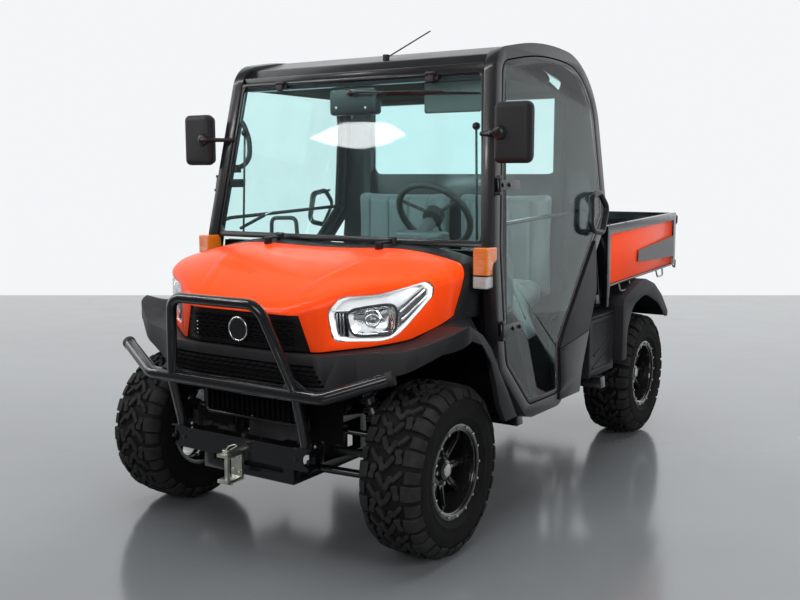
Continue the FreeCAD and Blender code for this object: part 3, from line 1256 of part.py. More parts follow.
def make_steering_wheel():
    """Ring, three spokes, hub and the stub in the column."""
    centre, down = column_axis()
    ring = Part.makeTorus(WHEEL_RING, WHEEL_GRIP, centre, down)
    hub = rod(centre - down * WHEEL_HUB_DEPTH / 2, centre + down * WHEEL_HUB_DEPTH, WHEEL_HUB)
    stub = rod(centre, centre + down * (COLUMN_START + STUB_DEPTH - KNUCKLE_GAP), STUB_RADIUS)
    parts = [ring, hub, stub]
    up = X_AXIS.cross(down)
    for angle in (90.0, 210.0, 330.0):
        turn = math.radians(angle)
        reach = X_AXIS * math.cos(turn) * WHEEL_RING - up * math.sin(turn) * WHEEL_RING
        parts.append(rod(centre, centre - reach, WHEEL_GRIP / 2 + RUNNING_FIT))
    return fused(parts)


def make_cushion(inner_x, outer_x):
    """Seat cushion as a rounded block on the seat base."""
    low = SEAT_BASE_TOP + SOFT_GAP
    block = box(inner_x, outer_x, SEAT_BASE_FRONT, SEAT_BASE_FRONT + CUSHION_DEPTH, low,
                low + CUSHION_THICKNESS)
    return block.makeFillet(CUSHION_ROUND, block.Edges)


def make_seat_back(inner_x, outer_x):
    """Backrest as a leaning rounded block in front of the rear wall."""
    low = SEAT_BASE_TOP + SOFT_GAP
    rear = REAR_WALL_Y - CROSS_TUBE - SOFT_GAP
    foot = SEAT_BASE_FRONT + CUSHION_DEPTH + SOFT_GAP
    points = [(foot, low, 0.0), (foot + BACK_THICKNESS, low, 0.0), (rear, BACK_TOP, CUSHION_ROUND),
              (rear - BACK_THICKNESS, BACK_TOP, CUSHION_ROUND)]
    return side_prism(points, inner_x, outer_x)


def make_rear_wall():
    """Sheet behind the seats with the rear window's opening."""
    block = box(-PANEL_REACH, PANEL_REACH, REAR_WALL_Y, REAR_WALL_Y + REAR_WALL, SEAT_BASE_TOP,
                ROOF_LOW)
    block = between_sides(block, TUBE)
    return block.cut(rear_window_block())


def rear_window_block():
    half = [(REAR_WINDOW_REACH, REAR_WINDOW_LOW, REAR_WINDOW_CORNER),
            (REAR_WINDOW_REACH, REAR_WINDOW_TOP, REAR_WINDOW_CORNER)]
    return front_prism(symmetrical(half), REAR_WALL_Y, REAR_WALL_Y + REAR_WALL)


def make_mirrors(neighbours):
    """Door mirrors: a rounded head on a bent arm from each front pillar."""
    head = box(MIRROR_X - MIRROR_WIDTH / 2, MIRROR_X + MIRROR_WIDTH / 2, MIRROR_Y - MIRROR_DEPTH / 2,
               MIRROR_Y + MIRROR_DEPTH / 2, MIRROR_Z - MIRROR_HEIGHT / 2, MIRROR_Z + MIRROR_HEIGHT / 2)
    head = head.makeFillet(MIRROR_ROUND, head.Edges)
    start = Vector(PLANE_X - TUBE * 2, MIRROR_Y + TUBE, MIRROR_Z)
    arm = rod(start, Vector(MIRROR_X, MIRROR_Y, MIRROR_Z), MIRROR_ARM)
    mirror = fused([head, arm])
    for neighbour in neighbours:
        mirror = mirror.cut(neighbour)
    return both_sides(max(mirror.Solids, key=lambda solid: solid.Volume))


def make_antenna(roof):
    """Whip antenna that leans back over the roof."""
    roof_z = ROOF_LOW + ROOF_RISE * ANTENNA_RISE_SHARE
    foot = Vector(ANTENNA_X, ANTENNA_Y, roof_z - ANTENNA_BASE)
    base = rod(foot, foot + Z_AXIS * ANTENNA_BASE * 2, ANTENNA_BASE)
    tip = Vector(ANTENNA_X, ANTENNA_TIP_Y, ANTENNA_TIP_Z)
    whip = rod(foot + Z_AXIS * ANTENNA_BASE, tip, ANTENNA_RADIUS)
    antenna = fused([base, whip]).cut(roof)
    return max(antenna.Solids, key=lambda solid: solid.Volume)


def make_signal_lamps(neighbours):
    """Turn signals on the front pillars and lamps on the rear bar."""
    block = box(SIGNAL_X - SIGNAL_WIDTH / 2, SIGNAL_X + SIGNAL_WIDTH / 2, SIGNAL_FRONT, SIGNAL_REAR,
                SIGNAL_LOW,
                SIGNAL_TOP)
    front = block.makeFillet(SIGNAL_ROUND, block.Edges)
    for neighbour in neighbours:
        front = front.cut(neighbour)
    front = max(front.Solids, key=lambda solid: solid.Volume)
    face = BED_PIN_Y + POST_END_RADIUS
    rear = box(LAMP_BAR_REACH - SIGNAL_WIDTH * 2, LAMP_BAR_REACH, face, face + SIGNAL_WIDTH / 2,
               LAMP_BAR_Z - CROSS_WIDTH / 2, LAMP_BAR_Z + CROSS_WIDTH / 2)
    return Part.makeCompound([front, mirrored(front), rear, mirrored(rear)])


def make_rear_fenders():
    """Arched shell over each rear wheel."""
    start = (REAR_FENDER_START, REAR_FENDER_LOW)
    size = (REAR_FENDER_LENGTH, REAR_FENDER_RISE)
    outer_points = placed(REAR_FENDER_SHARES, start, size, REAR_FENDER_CORNER)
    outline = side_face(outer_points, REAR_FENDER_INNER)
    block = outline.extrude(X_AXIS * (REAR_FENDER_X - REAR_FENDER_INNER))
    inner = outline.makeOffset2D(-WALL)
    inner.translate(X_AXIS * -OVERRUN)
    hollow = inner.extrude(X_AXIS * (REAR_FENDER_X - REAR_FENDER_INNER - WALL + OVERRUN))
    arch_points = placed(REAR_ARCH_SHARES, start, size, REAR_FENDER_CORNER)
    arch = side_prism(arch_points, REAR_FENDER_INNER - OVERRUN, REAR_FENDER_X + OVERRUN)
    low = box(REAR_FENDER_INNER - OVERRUN, REAR_FENDER_X + OVERRUN, REAR_FENDER_START - OVERRUN,
              REAR_FENDER_START + REAR_FENDER_LENGTH + OVERRUN, FENDER_LOW - OVERRUN * 3, REAR_FENDER_LOW)
    fender = block.cut(hollow).cut(arch).cut(low)
    return both_sides(max(fender.Solids, key=lambda solid: solid.Volume))


def make_side_boxes(quarter_panels):
    """Moulded box on each side between the cab and the rear wheel."""
    low = BEAM_BOTTOM + BEAM_HEIGHT
    block = box(BOX_INNER, BOX_OUTER, BOX_FRONT, REAR_FENDER_START, low, BOX_TOP)
    recess = box(BOX_OUTER - BOX_PANEL_DEPTH, BOX_OUTER + OVERRUN, BOX_FRONT + BOX_PANEL_RIM,
                 REAR_FENDER_START - BOX_PANEL_RIM, low + BOX_PANEL_RIM, BOX_TOP - BOX_PANEL_RIM)
    body = block.cut(recess).cut(quarter_panels).cut(outside_ring())
    return both_sides(max(body.Solids, key=lambda solid: solid.Volume))


def outside_ring():
    """The space of the cab's left tube ring."""
    return in_cab_plane(opening_face(TUBE).extrude(X_AXIS * -TUBE))


def raked_bed(shape):
    """The level bed tilted to its small forward rake about its hinge."""
    shape.rotate(Vector(0, BED_PIN_Y, BED_PIN_Z), X_AXIS, BED_RAKE)
    return shape


def make_bed():
    """Floor on two ribs, front wall, side walls with rails and posts, and the eyes of the hinge."""
    half = BED_HALF_WIDTH
    inner = half - BED_WALL
    floor_low = BED_FLOOR - BED_FLOOR_THICKNESS
    parts = [box(-half, half, BED_FRONT, BED_REAR - GATE_THICKNESS - GATE_GAP, floor_low, BED_FLOOR)]
    front_wall = box(-half, half, BED_FRONT, BED_FRONT + BED_WALL, floor_low, BED_TOP)
    parts.append(front_wall)
    for side in (1, -1):
        parts.append(box(side * inner, side * (inner + BED_SHEET), BED_FRONT, BED_REAR, floor_low, BED_TOP))
        parts.append(box(side * inner, side * half, BED_FRONT, BED_REAR, BED_TOP - BED_RAIL, BED_TOP))
        parts.append(box(side * inner, side * half, BED_FRONT, BED_REAR, floor_low, floor_low + BED_LOW_RAIL))
        parts.append(box(side * inner, side * half, BED_FRONT, BED_FRONT + BED_POST, BED_POST_FOOT, BED_TOP))
        parts.append(box(side * inner, side * half, BED_REAR - BED_POST, BED_REAR, floor_low, BED_TOP))
        rib_in = side * RIB_INNER
        rib_out = side * (RIB_INNER + RIB_WIDTH)
        rib_low = BED_PIN_Z - RIB_HEIGHT / 2
        parts.append(box(rib_in, rib_out, RIB_FRONT, BED_PIN_Y, rib_low, floor_low))
        eye_start = Vector(rib_in, BED_PIN_Y, BED_PIN_Z)
        eye_end = Vector(rib_out, BED_PIN_Y, BED_PIN_Z)
        parts.append(rod(eye_start, eye_end, RIB_HEIGHT / 2))
        parts.append(box(rib_in, rib_out, BED_PIN_Y - RIB_HEIGHT / 2, BED_PIN_Y + RIB_HEIGHT / 2, BED_PIN_Z,
                         floor_low))
    lift_pin_z = BED_PIN_Z - RIB_HEIGHT / 2
    lug_inner = LIFT_EYE_WIDTH / 2 + LIFT_LUG_GAP
    lug_outer = lug_inner + LIFT_LUG
    for side in (1, -1):
        parts.append(box(side * lug_inner, side * lug_outer, LIFT_BED_Y - ROD_EYE_RADIUS,
                         LIFT_BED_Y + ROD_EYE_RADIUS,
                         lift_pin_z - BED_LUG_PIN * 2, floor_low))
    parts.append(rod(Vector(-lug_outer, LIFT_BED_Y, lift_pin_z), Vector(lug_outer, LIFT_BED_Y, lift_pin_z),
                     BED_LUG_PIN))
    bed = fused(parts)
    for side in (1, -1):
        start = Vector(side * (RIB_INNER - OVERRUN), BED_PIN_Y, BED_PIN_Z)
        bed = bed.cut(rod(start, start + X_AXIS * side * (RIB_WIDTH + OVERRUN * 2),
                          BED_PIN_RADIUS + RUNNING_FIT))
        gate_pin = Vector(side * inner, BED_REAR - GATE_THICKNESS / 2, BED_FLOOR + GATE_THICKNESS / 2)
        bed = bed.cut(rod(gate_pin - X_AXIS * side * OVERRUN, gate_pin + X_AXIS * side * BED_WALL / 2,
                          GATE_PIN_RADIUS + RUNNING_FIT))
    return raked_bed(bed)


def make_bed_panels():
    """Coloured panel in the recess of each side wall."""
    inner = BED_HALF_WIDTH - BED_WALL + BED_SHEET
    floor_low = BED_FLOOR - BED_FLOOR_THICKNESS
    panel = box(inner, inner + BED_PANEL, BED_FRONT + BED_POST, BED_REAR - BED_POST, floor_low + BED_LOW_RAIL,
                BED_TOP - BED_RAIL)
    return raked_bed(both_sides(panel))


def make_tailgate():
    """Tailgate between the side walls, with its pins."""
    reach = BED_HALF_WIDTH - BED_WALL - GATE_GAP
    gate = box(-reach, reach, BED_REAR - GATE_THICKNESS, BED_REAR, BED_FLOOR, BED_TOP)
    parts = [gate]
    for side in (1, -1):
        start = Vector(side * (reach - OVERRUN), BED_REAR - GATE_THICKNESS / 2,
                       BED_FLOOR + GATE_THICKNESS / 2)
        parts.append(rod(start, start + X_AXIS * side * (OVERRUN + GATE_GAP + BED_WALL / 3), GATE_PIN_RADIUS))
    return raked_bed(fused(parts))


def lift_line():
    """The lift cylinder's lower pin, its upper pin on the raked bed and the direction between."""
    low = Vector(0, LIFT_PIVOT_Y, LIFT_PIVOT_Z)
    hinge = Vector(0, BED_PIN_Y, BED_PIN_Z)
    flat = Vector(0, LIFT_BED_Y, BED_PIN_Z - RIB_HEIGHT / 2)
    turn = FreeCAD.Rotation(X_AXIS, BED_RAKE)
    top = hinge + turn.multVec(flat - hinge)
    return low, top, (top - low).normalize()


def across(centre, reach, radius):
    """A round bar across the vehicle, centred on a point."""
    return rod(centre - X_AXIS * reach, centre + X_AXIS * reach, radius)


def make_lift_barrel():
    """Barrel of the lift cylinder, around its pin on the chassis."""
    low, _, up = lift_line()
    eye = across(low, LIFT_EYE_WIDTH / 2, LIFT_EYE_RADIUS)
    start = low + up * (LIFT_EYE_RADIUS - LIFT_LUG_GAP)
    tube = rod(start, start + up * BARREL_LENGTH, BARREL_RADIUS)
    bore = rod(start + up * BARREL_BORE, start + up * (BARREL_LENGTH + OVERRUN), BARREL_BORE)
    lug_space = rod(low + X_AXIS * LIFT_EYE_WIDTH / 2, low + X_AXIS * OVERRUN, LIFT_LUG_SWEEP)
    tube = tube.cut(lug_space).cut(mirrored(lug_space))
    return fused([eye, tube]).cut(bore).cut(across(low, OVERRUN, LIFT_PIN_RADIUS + RUNNING_FIT))


def make_lift_rod():
    """Rod of the lift cylinder, with an open eye below the bed."""
    low, top, up = lift_line()
    eye = across(top, LIFT_EYE_WIDTH / 2, ROD_EYE_RADIUS)
    start = low + up * (LIFT_EYE_RADIUS + BARREL_BORE)
    return fused([eye, rod(start, top, LIFT_ROD_RADIUS)]).cut(across(top, OVERRUN, ROD_EYE_BORE))


def make_door_frame():
    """Edge frame of the left door with its two hinge straps."""
    ring = opening_face(-DOOR_GAP).cut(opening_face(-DOOR_GAP - DOOR_BORDER)).extrude(X_AXIS * -DOOR_THICKNESS)
    parts = [ring]
    bores = []
    for z in (HINGE_LOW_Z, HINGE_HIGH_Z):
        low = at_height(z - HINGE_EYE_HEIGHT / 2 + HINGE_END_GAP)
        high = at_height(z + HINGE_EYE_HEIGHT / 2 - HINGE_END_GAP)
        parts.append(rod(low, high, HINGE_EYE_RADIUS))
        middle = at_height(z)
        parts.append(box(0, HINGE_PLATE, middle.y + HINGE_PLATE / 2, middle.y + HINGE_STRAP,
                         low.z + HINGE_PLATE,
                         high.z - HINGE_PLATE))
        bores.append(rod(at_height(z - HINGE_EYE_HEIGHT), at_height(z + HINGE_EYE_HEIGHT),
                         HINGE_PIN_RADIUS + RUNNING_FIT))
    frame = fused(parts)
    for bore in bores:
        frame = frame.cut(bore)
    return in_cab_plane(frame)


def make_door_glass():
    pane = opening_face(-DOOR_GAP - DOOR_BORDER).extrude(X_AXIS * -DOOR_GLASS)
    return in_cab_plane(pane)


def make_door_handle():
    """Loop handle that stands off the glass on two feet."""
    points = placed(HANDLE_SHARES, (HANDLE_START, HANDLE_LOW), (HANDLE_LENGTH, HANDLE_RISE), 1.0)
    places = [(Vector(HANDLE_STAND, p[0], p[1]), HANDLE_CORNER) for p in points]
    path = rounded_wire(places)
    start = path.Edges[0].firstVertex().Point
    direction = path.Edges[0].tangentAt(path.Edges[0].FirstParameter)
    ring = Part.Wire(Part.makeCircle(HANDLE_RADIUS, start, direction))
    loop = path.makePipeShell([ring], True, False).Solids[0]
    feet = []
    for p in (points[0], points[2]):
        feet.append(rod(Vector(0, p[0] + HANDLE_RADIUS, p[1]), Vector(HANDLE_STAND, p[0] + HANDLE_RADIUS,
                                                                      p[1]),
                        HANDLE_RADIUS / 2))
    return in_cab_plane(fused([loop] + feet))


def make_all():
    """Every sub-part by the name of its node."""
    cab_frame = make_cab_frame()
    screen_frame = make_windscreen_frame()
    cowl = make_cowl(screen_frame)
    dashboard = make_dashboard()
    hood = make_hood()
    quarter_panels = make_quarter_panels()
    roof = make_roof().cut(screen_frame)
    tyre = make_tyre()
    parts = {
        "chassis_frame": make_chassis(),
        "engine_block": make_engine(),
        "drive_shafts": make_drive(),
        "suspension_arms": make_suspension_arms(),
        "shock_absorbers": make_shocks(),
        "rear_hubs": Part.makeCompound([make_knuckle(side, WHEELBASE) for side in (1, -1)]),
        "front_guard": make_front_guard(),
        "hitches": make_hitches(),
        "fascia": make_fascia(),
        "front_fenders": make_front_fenders(cowl),
        "hood": hood,
        "headlamps": make_headlamps(),
        "grille": make_grille(),
        "hood_hinges": make_hood_hinges(hood),
        "cowl": cowl,
        "floor_tub": make_floor_tub(cab_frame),
        "dashboard": dashboard,
        "steering_column": make_steering_column(dashboard),
        "steering_wheel": make_steering_wheel(),
        "seat_cushion_left": make_cushion(DRIVER_INNER_X, DRIVER_OUTER_X),
        "seat_cushion_right": make_cushion(PASSENGER_INNER_X, PASSENGER_OUTER_X),
        "seat_back_left": make_seat_back(DRIVER_INNER_X, DRIVER_OUTER_X),
        "seat_back_right": make_seat_back(PASSENGER_INNER_X, PASSENGER_OUTER_X),
        "cab_frame": cab_frame,
        "quarter_panels": quarter_panels,
        "roof": roof,
        "windscreen_frame": screen_frame,
        "windscreen_glass": make_windscreen_glass(),
        "rear_wall": make_rear_wall(),
        "rear_window": rear_window_block(),
        "mirrors": make_mirrors((cab_frame, screen_frame)),
        "antenna": make_antenna(roof),
        "signal_lamps": make_signal_lamps((cab_frame, cowl, screen_frame)),
        "rear_fenders": make_rear_fenders(),
        "side_boxes": make_side_boxes(quarter_panels),
        "cargo_bed": make_bed(),
        "bed_side_panels": make_bed_panels(),
        "tailgate": make_tailgate(),
        "lift_barrel": make_lift_barrel(),
        "lift_rod": make_lift_rod(),
    }
    for name, side in (("left", 1), ("right", -1)):
        parts["knuckle_" + name] = make_knuckle(side, 0.0)
        for row, axle_y in (("front", 0.0), ("rear", WHEELBASE)):
            parts["tyre_" + row + "_" + name] = on_axle(tyre, side, axle_y)
            parts["rim_" + row + "_" + name] = make_rim(side, axle_y)
    for piece, shape in (("frame", make_door_frame()), ("glass", make_door_glass()),
                         ("handle", make_door_handle())):
        parts["door_" + piece + "_left"] = shape
        parts["door_" + piece + "_right"] = mirrored(shape)
    return parts


def main():
    os.makedirs("parts", exist_ok=True)
    front_axle_y = -(HOOP_TOP_Y - HOOP_RADIUS + DRAWBAR_REAR) / 2
    for name, shape in make_all().items():
        shape.translate(Y_AXIS * front_axle_y)
        shape.exportStep("parts/" + name + ".step")


main()
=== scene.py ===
"""Side by side utility vehicle: finishes, tyres, lamps, seats and trim on the built frame."""

import json
import math

import bpy
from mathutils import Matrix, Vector
from mathutils.bvhtree import BVHTree

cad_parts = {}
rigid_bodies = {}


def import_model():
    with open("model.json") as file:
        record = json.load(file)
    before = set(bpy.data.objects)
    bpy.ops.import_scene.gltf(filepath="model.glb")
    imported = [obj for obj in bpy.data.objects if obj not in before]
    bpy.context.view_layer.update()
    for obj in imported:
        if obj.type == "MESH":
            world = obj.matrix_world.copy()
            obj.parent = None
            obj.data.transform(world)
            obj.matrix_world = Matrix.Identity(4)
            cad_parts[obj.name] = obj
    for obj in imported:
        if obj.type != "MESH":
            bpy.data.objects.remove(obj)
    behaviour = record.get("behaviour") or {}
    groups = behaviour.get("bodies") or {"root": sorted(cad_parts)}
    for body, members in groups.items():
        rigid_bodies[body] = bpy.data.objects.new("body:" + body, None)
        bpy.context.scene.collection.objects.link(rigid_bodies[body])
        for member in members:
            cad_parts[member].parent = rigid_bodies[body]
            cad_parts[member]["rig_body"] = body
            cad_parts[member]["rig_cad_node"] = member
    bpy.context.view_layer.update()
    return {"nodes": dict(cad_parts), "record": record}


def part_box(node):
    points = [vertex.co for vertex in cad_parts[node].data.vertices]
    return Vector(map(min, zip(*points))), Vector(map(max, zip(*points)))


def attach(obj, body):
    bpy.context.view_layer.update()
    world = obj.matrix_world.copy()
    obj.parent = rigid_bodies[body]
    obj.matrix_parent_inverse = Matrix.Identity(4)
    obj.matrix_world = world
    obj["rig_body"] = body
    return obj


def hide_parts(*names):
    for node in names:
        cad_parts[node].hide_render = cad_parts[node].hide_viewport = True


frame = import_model()

# Sizes shared with the built model, in metres
FRONT_AXLE_Y = -0.9975
REAR_AXLE_Y = 1.0475
HALF_TRACK = 0.617
AXLE_HEIGHT = 0.32
SCREEN_RAKE = math.radians(9.8)
SCREEN_FOOT = Vector((0.0, -0.7015, 1.129))
SIDES = {"left": 1.0, "right": -1.0}
AXLES = {"front": FRONT_AXLE_Y, "rear": REAR_AXLE_Y}

# How shapes are made
MERGE_DISTANCE = 0.00002
FLAT_ANGLE = math.radians(0.5)
BEND_STEPS = 6
BEND_LIMIT = 0.48
FLANGE_HEIGHT = 0.3
FLANGE_WIDTH = 1.25

carriers = {}
for body, members in frame["record"]["behaviour"]["bodies"].items():
    for member in members:
        carriers[member] = body


# ---------------------------------------------------------------- handling of pieces


def clear():
    """Nothing stays selected."""
    bpy.ops.object.select_all(action="DESELECT")


def only(piece):
    """One piece is selected and active."""
    clear()
    piece.select_set(True)
    bpy.context.view_layer.objects.active = piece


def edit(piece):
    """Opens a piece with all of it selected."""
    only(piece)
    bpy.ops.object.mode_set(mode="EDIT")
    bpy.ops.mesh.select_all(action="SELECT")


def close():
    """Leaves edit mode."""
    bpy.ops.object.mode_set(mode="OBJECT")


def without_faces(piece, unwanted, kind="FACE"):
    """Takes the unwanted faces off a piece."""
    bpy.context.tool_settings.mesh_select_mode = (False, False, True)
    edit(piece)
    bpy.ops.mesh.select_all(action="DESELECT")
    close()
    for face in piece.data.polygons:
        face.select = bool(unwanted(face))
    bpy.ops.object.mode_set(mode="EDIT")
    bpy.ops.mesh.delete(type=kind)
    close()


def parted(piece, place, out):
    """Draws a line round a piece where a plane meets it."""
    edit(piece)
    bpy.ops.mesh.bisect(plane_co=place, plane_no=out)
    close()


def settled(piece):
    """Puts a piece's place, turn and size into its mesh."""
    only(piece)
    bpy.ops.object.transform_apply(location=True, rotation=True, scale=True)
    return piece


def placed(piece, place, turn):
    """Turns a piece modelled round the origin and moves it to its place."""
    piece.rotation_euler = turn
    piece.location = place
    return settled(piece)


def modified(piece, kind, **settings):
    """Adds one modifier and applies it."""
    only(piece)
    step = piece.modifiers.new(kind.title(), kind)
    for name, value in settings.items():
        setattr(step, name, value)
    bpy.ops.object.modifier_apply(modifier=step.name)
    return piece


def rounded(piece, width, angle=35.0, segments=2):
    """Rounds the sharp edges of a piece."""
    return modified(piece, "BEVEL", width=width, segments=segments, limit_method="ANGLE",
                    angle_limit=math.radians(angle))


def smooth(piece, angle=35.0):
    """Shades a piece smooth, apart from edges sharper than an angle."""
    only(piece)
    bpy.ops.object.shade_smooth_by_angle(angle=math.radians(angle))
    return piece


def faced_out(piece):
    """Turns all faces outwards."""
    edit(piece)
    bpy.ops.mesh.normals_make_consistent(inside=False)
    close()
    return piece


def cleaned(piece):
    """Merges doubled points and turns all faces outwards."""
    edit(piece)
    bpy.ops.mesh.remove_doubles(threshold=MERGE_DISTANCE)
    close()
    return faced_out(piece)


def painted(piece, material):
    """Gives a piece its only material."""
    piece.data.materials.clear()
    piece.data.materials.append(material)
    return piece


def named(piece, name):
    """Names a piece and its mesh."""
    piece.name = name
    piece.data.name = name
    return piece


def joined(pieces, name):
    """One piece out of several."""
    clear()
    for piece in pieces:
        piece.select_set(True)
    bpy.context.view_layer.objects.active = pieces[0]
    bpy.ops.object.join()
    return named(pieces[0], name)


def copied(piece, name):
    """A copy with its own mesh."""
    only(piece)
    bpy.ops.object.duplicate(linked=False)
    return named(bpy.context.view_layer.objects.active, name)


def mirrored(piece, name):
    """The same piece on the vehicle's other side."""
    twin = copied(piece, name)
    twin.scale = (-1.0, 1.0, 1.0)
    return faced_out(settled(twin))


def carried(piece, body, slot, *nodes):
    """Hands a finished piece to the body it moves with."""
    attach(piece, body)
    if nodes:
        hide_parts(*nodes)
    return piece


def made(rows):
    """Trim pieces, each from a row of its maker, its finish and the maker's values."""
    return [painted(maker(*values), material) for maker, material, *values in rows]


def handed(parts, name, node, slot="black_plastic"):
    """Joins trim and hands it to the body that carries a built piece."""
    return carried(joined(parts, name), carriers[node], slot)


# ---------------------------------------------------------------- makers of shapes


def meshed(places, faces, edges=()):
    """A piece made straight from its places and the faces or edges between them."""
    mesh = bpy.data.meshes.new("new")
    mesh.from_pydata([tuple(place) for place in places], list(edges), [tuple(face) for face in faces])
    piece = bpy.data.objects.new("new", mesh)
    bpy.context.scene.collection.objects.link(piece)
    return piece


def skin(loops, whole=False):
    """A skin over loops of points, closed at its last loop and, when whole, at its first one too."""
    count = len(loops[0])
    last = (len(loops) - 1) * count
    sides = [(row + index, row + (index + 1) % count, row + count + (index + 1) % count, row + count + index)
             for row in range(0, last, count) for index in range(count)]
    end = range(last, last + count)
    faces = [reversed(range(count)), end] + sides if whole else sides + [end]
    return meshed([place for loop in loops for place in loop], faces)


def lofted(loops, angle=30.0):
    """A smooth skin over loops of points, open at its first loop."""
    return smooth(skin(loops), angle)


def block(low, high, edge=0.002, segments=2):
    """Rounded block between two corners."""
    low = Vector(low)
    high = Vector(high)
    bpy.ops.mesh.primitive_cube_add(size=1.0, location=(low + high) / 2)
    piece = bpy.context.object
    piece.scale = high - low
    return smooth(rounded(settled(piece), edge, segments=segments))


def axis_turn(direction):
    """The turn that lays a piece's own Z along a direction."""
    return Vector((0.0, 0.0, 1.0)).rotation_difference(Vector(direction).normalized()).to_euler()


def round_bar(start, end, radius, edge=0.001, sides=24):
    """Straight round bar with softened ends."""
    start = Vector(start)
    end = Vector(end)
    bpy.ops.mesh.primitive_cylinder_add(vertices=sides, radius=radius, depth=(end - start).length,
                                        location=(start + end) / 2, rotation=axis_turn(end - start))
    return smooth(rounded(settled(bpy.context.object), edge, angle=50.0), 50.0)


def bent_bar(points, radius, bend=0.03, closed=False, sides=4):
    """Round bar that follows points, with an arc at each corner."""
    bpy.ops.curve.primitive_bezier_curve_add()
    curve = bpy.context.object
    curve.data.splines.clear()
    line = curve.data.splines.new("POLY")
    route = rounded_route([Vector(point) for point in points], bend, closed)
    line.points.add(len(route) - 1)
    for point, place in zip(line.points, route):
        point.co = (place.x, place.y, place.z, 1.0)
    line.use_cyclic_u = closed
    curve.data.dimensions = "3D"
    curve.data.bevel_depth = radius
    curve.data.bevel_resolution = sides
    curve.data.use_fill_caps = not closed
    curve.location = (0.0, 0.0, 0.0)
    only(curve)
    bpy.ops.object.convert(target="MESH")
    return smooth(cleaned(settled(bpy.context.object)), 50.0)


def rounded_route(points, bend, closed):
    """Corner points turned into runs and arcs for a bent bar."""
    route = []
    count = len(points)
    for index, point in enumerate(points):
        if not closed and index in (0, count - 1):
            route.append(point)
            continue
        before = points[index - 1]
        after = points[(index + 1) % count]
        reach = min(bend, (before - point).length * BEND_LIMIT, (after - point).length * BEND_LIMIT)
        first = point + (before - point).normalized() * reach
        last = point + (after - point).normalized() * reach
        for step in range(BEND_STEPS + 1):
            share = step / BEND_STEPS
            route.append(first.lerp(point, share).lerp(point.lerp(last, share), share))
    return route


def outline_piece(points, thickness, edge=0.0015):
    """Flat plate from the points of its outline, given its thickness along its normal."""
    sheet = meshed(points, [range(len(points))])
    piece = cleaned(modified(sheet, "SOLIDIFY", thickness=thickness, offset=0.0))
    if edge:
        rounded(piece, edge)
    return smooth(piece)


def spun(profile, steps, angle):
    """A closed profile of places along and away from the X axis, spun once round it."""
    count = len(profile)
    piece = meshed([(along, 0.0, away) for along, away in profile], [],
                   [(index, (index + 1) % count) for index in range(count)])
    edit(piece)
    bpy.ops.mesh.spin(steps=steps, angle=math.tau, center=(0.0, 0.0, 0.0), axis=(1.0, 0.0, 0.0))
    close()
    return smooth(cleaned(piece), angle)


def ringed(piece, count):
    """Repeats a piece evenly round the X axis, within its own mesh."""
    edit(piece)
    bpy.ops.mesh.spin(steps=count, angle=math.tau, dupli=True, center=(0.0, 0.0, 0.0), axis=(1.0, 0.0, 0.0))
    close()
    return piece


def bolt_head(place, out, radius, height):
    """Flanged hexagon bolt head seated on a face."""
    out = Vector(out).normalized()
    place = Vector(place)
    flange = round_bar(place - out * 0.001, place + out * height * FLANGE_HEIGHT, radius * FLANGE_WIDTH,
                       0.0004, 20)
    return joined([flange, round_bar(place, place + out * height, radius, 0.0008, 6)], "bolt")


def dressed(node, material, edge=0.0015, angle=35.0):
    """A cleaned copy of a built solid with softened edges, which stands for it."""
    built = frame["nodes"][node]
    piece = built.copy()
    piece.data = built.data.copy()
    piece.parent = None
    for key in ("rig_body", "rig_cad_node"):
        if key in piece:
            del piece[key]
    bpy.context.scene.collection.objects.link(piece)
    named(piece, node + "_finished")
    edit(piece)
    bpy.ops.mesh.remove_doubles(threshold=MERGE_DISTANCE)
    bpy.ops.mesh.dissolve_limited(angle_limit=FLAT_ANGLE)
    close()
    if edge:
        rounded(piece, edge, angle)
    return painted(smooth(piece, angle), material)


# ---------------------------------------------------------------- finishes

GLASS_IOR = 1.3
LENS_IOR = 1.49
LENS_RIBS = 60.0

# The ridge on each side of the hood: where its line starts, how it runs out, its section and its front end
RIDGE_START = 0.76
RIDGE_SLOPE = 0.42
RIDGE_HALF_WIDTH = 0.034
RIDGE_HEIGHT = 0.005
RIDGE_FRONT = -1.3
RIDGE_FADE = 0.12


def added(holder, kind, values=None, **settings):
    """A new shader node with its settings and the values of its sockets."""
    node = holder.node_tree.nodes.new(kind)
    for setting, value in settings.items():
        setattr(node, setting, value)
    for socket, value in (values or {}).items():
        node.inputs[socket].default_value = value
    return node


def wired(holder, *pairs):
    """Joins shader sockets: each pair is an output and the input it feeds."""
    for source, target in pairs:
        holder.node_tree.links.new(source, target)


def counted(holder, operation, *values):
    """A sum on values, each a number or another node's output."""
    step = added(holder, "ShaderNodeMath", operation=operation)
    for socket, value in zip(step.inputs, values):
        if isinstance(value, (int, float)):
            socket.default_value = value
        else:
            wired(holder, (value, socket))
    return step.outputs["Value"]


def mixed(holder, share, first, second):
    """One shader blended into another by a share."""
    blend = added(holder, "ShaderNodeMixShader")
    wired(holder, (share, blend.inputs["Fac"]), (first, blend.inputs[1]), (second, blend.inputs[2]))
    return blend.outputs["Shader"]


def bumped(material, height, strength, distance):
    """Raises the shading of a finish by a height pattern."""
    bump = added(material, "ShaderNodeBump", {"Strength": strength, "Distance": distance})
    wired(material, (height, bump.inputs["Height"]),
          (bump.outputs["Normal"], shader_of(material).inputs["Normal"]))
    return material


def started(name, values):
    """A new material whose shader has these values."""
    material = bpy.data.materials.new(name)
    material.use_nodes = True
    for socket, value in values.items():
        shader_of(material).inputs[socket].default_value = value
    return material


def shader_of(material):
    """The main shader of a material."""
    return material.node_tree.nodes["Principled BSDF"]


def own_place(material):
    """Where each point lies in its piece's own measures."""
    return added(material, "ShaderNodeTexCoord").outputs["Object"]


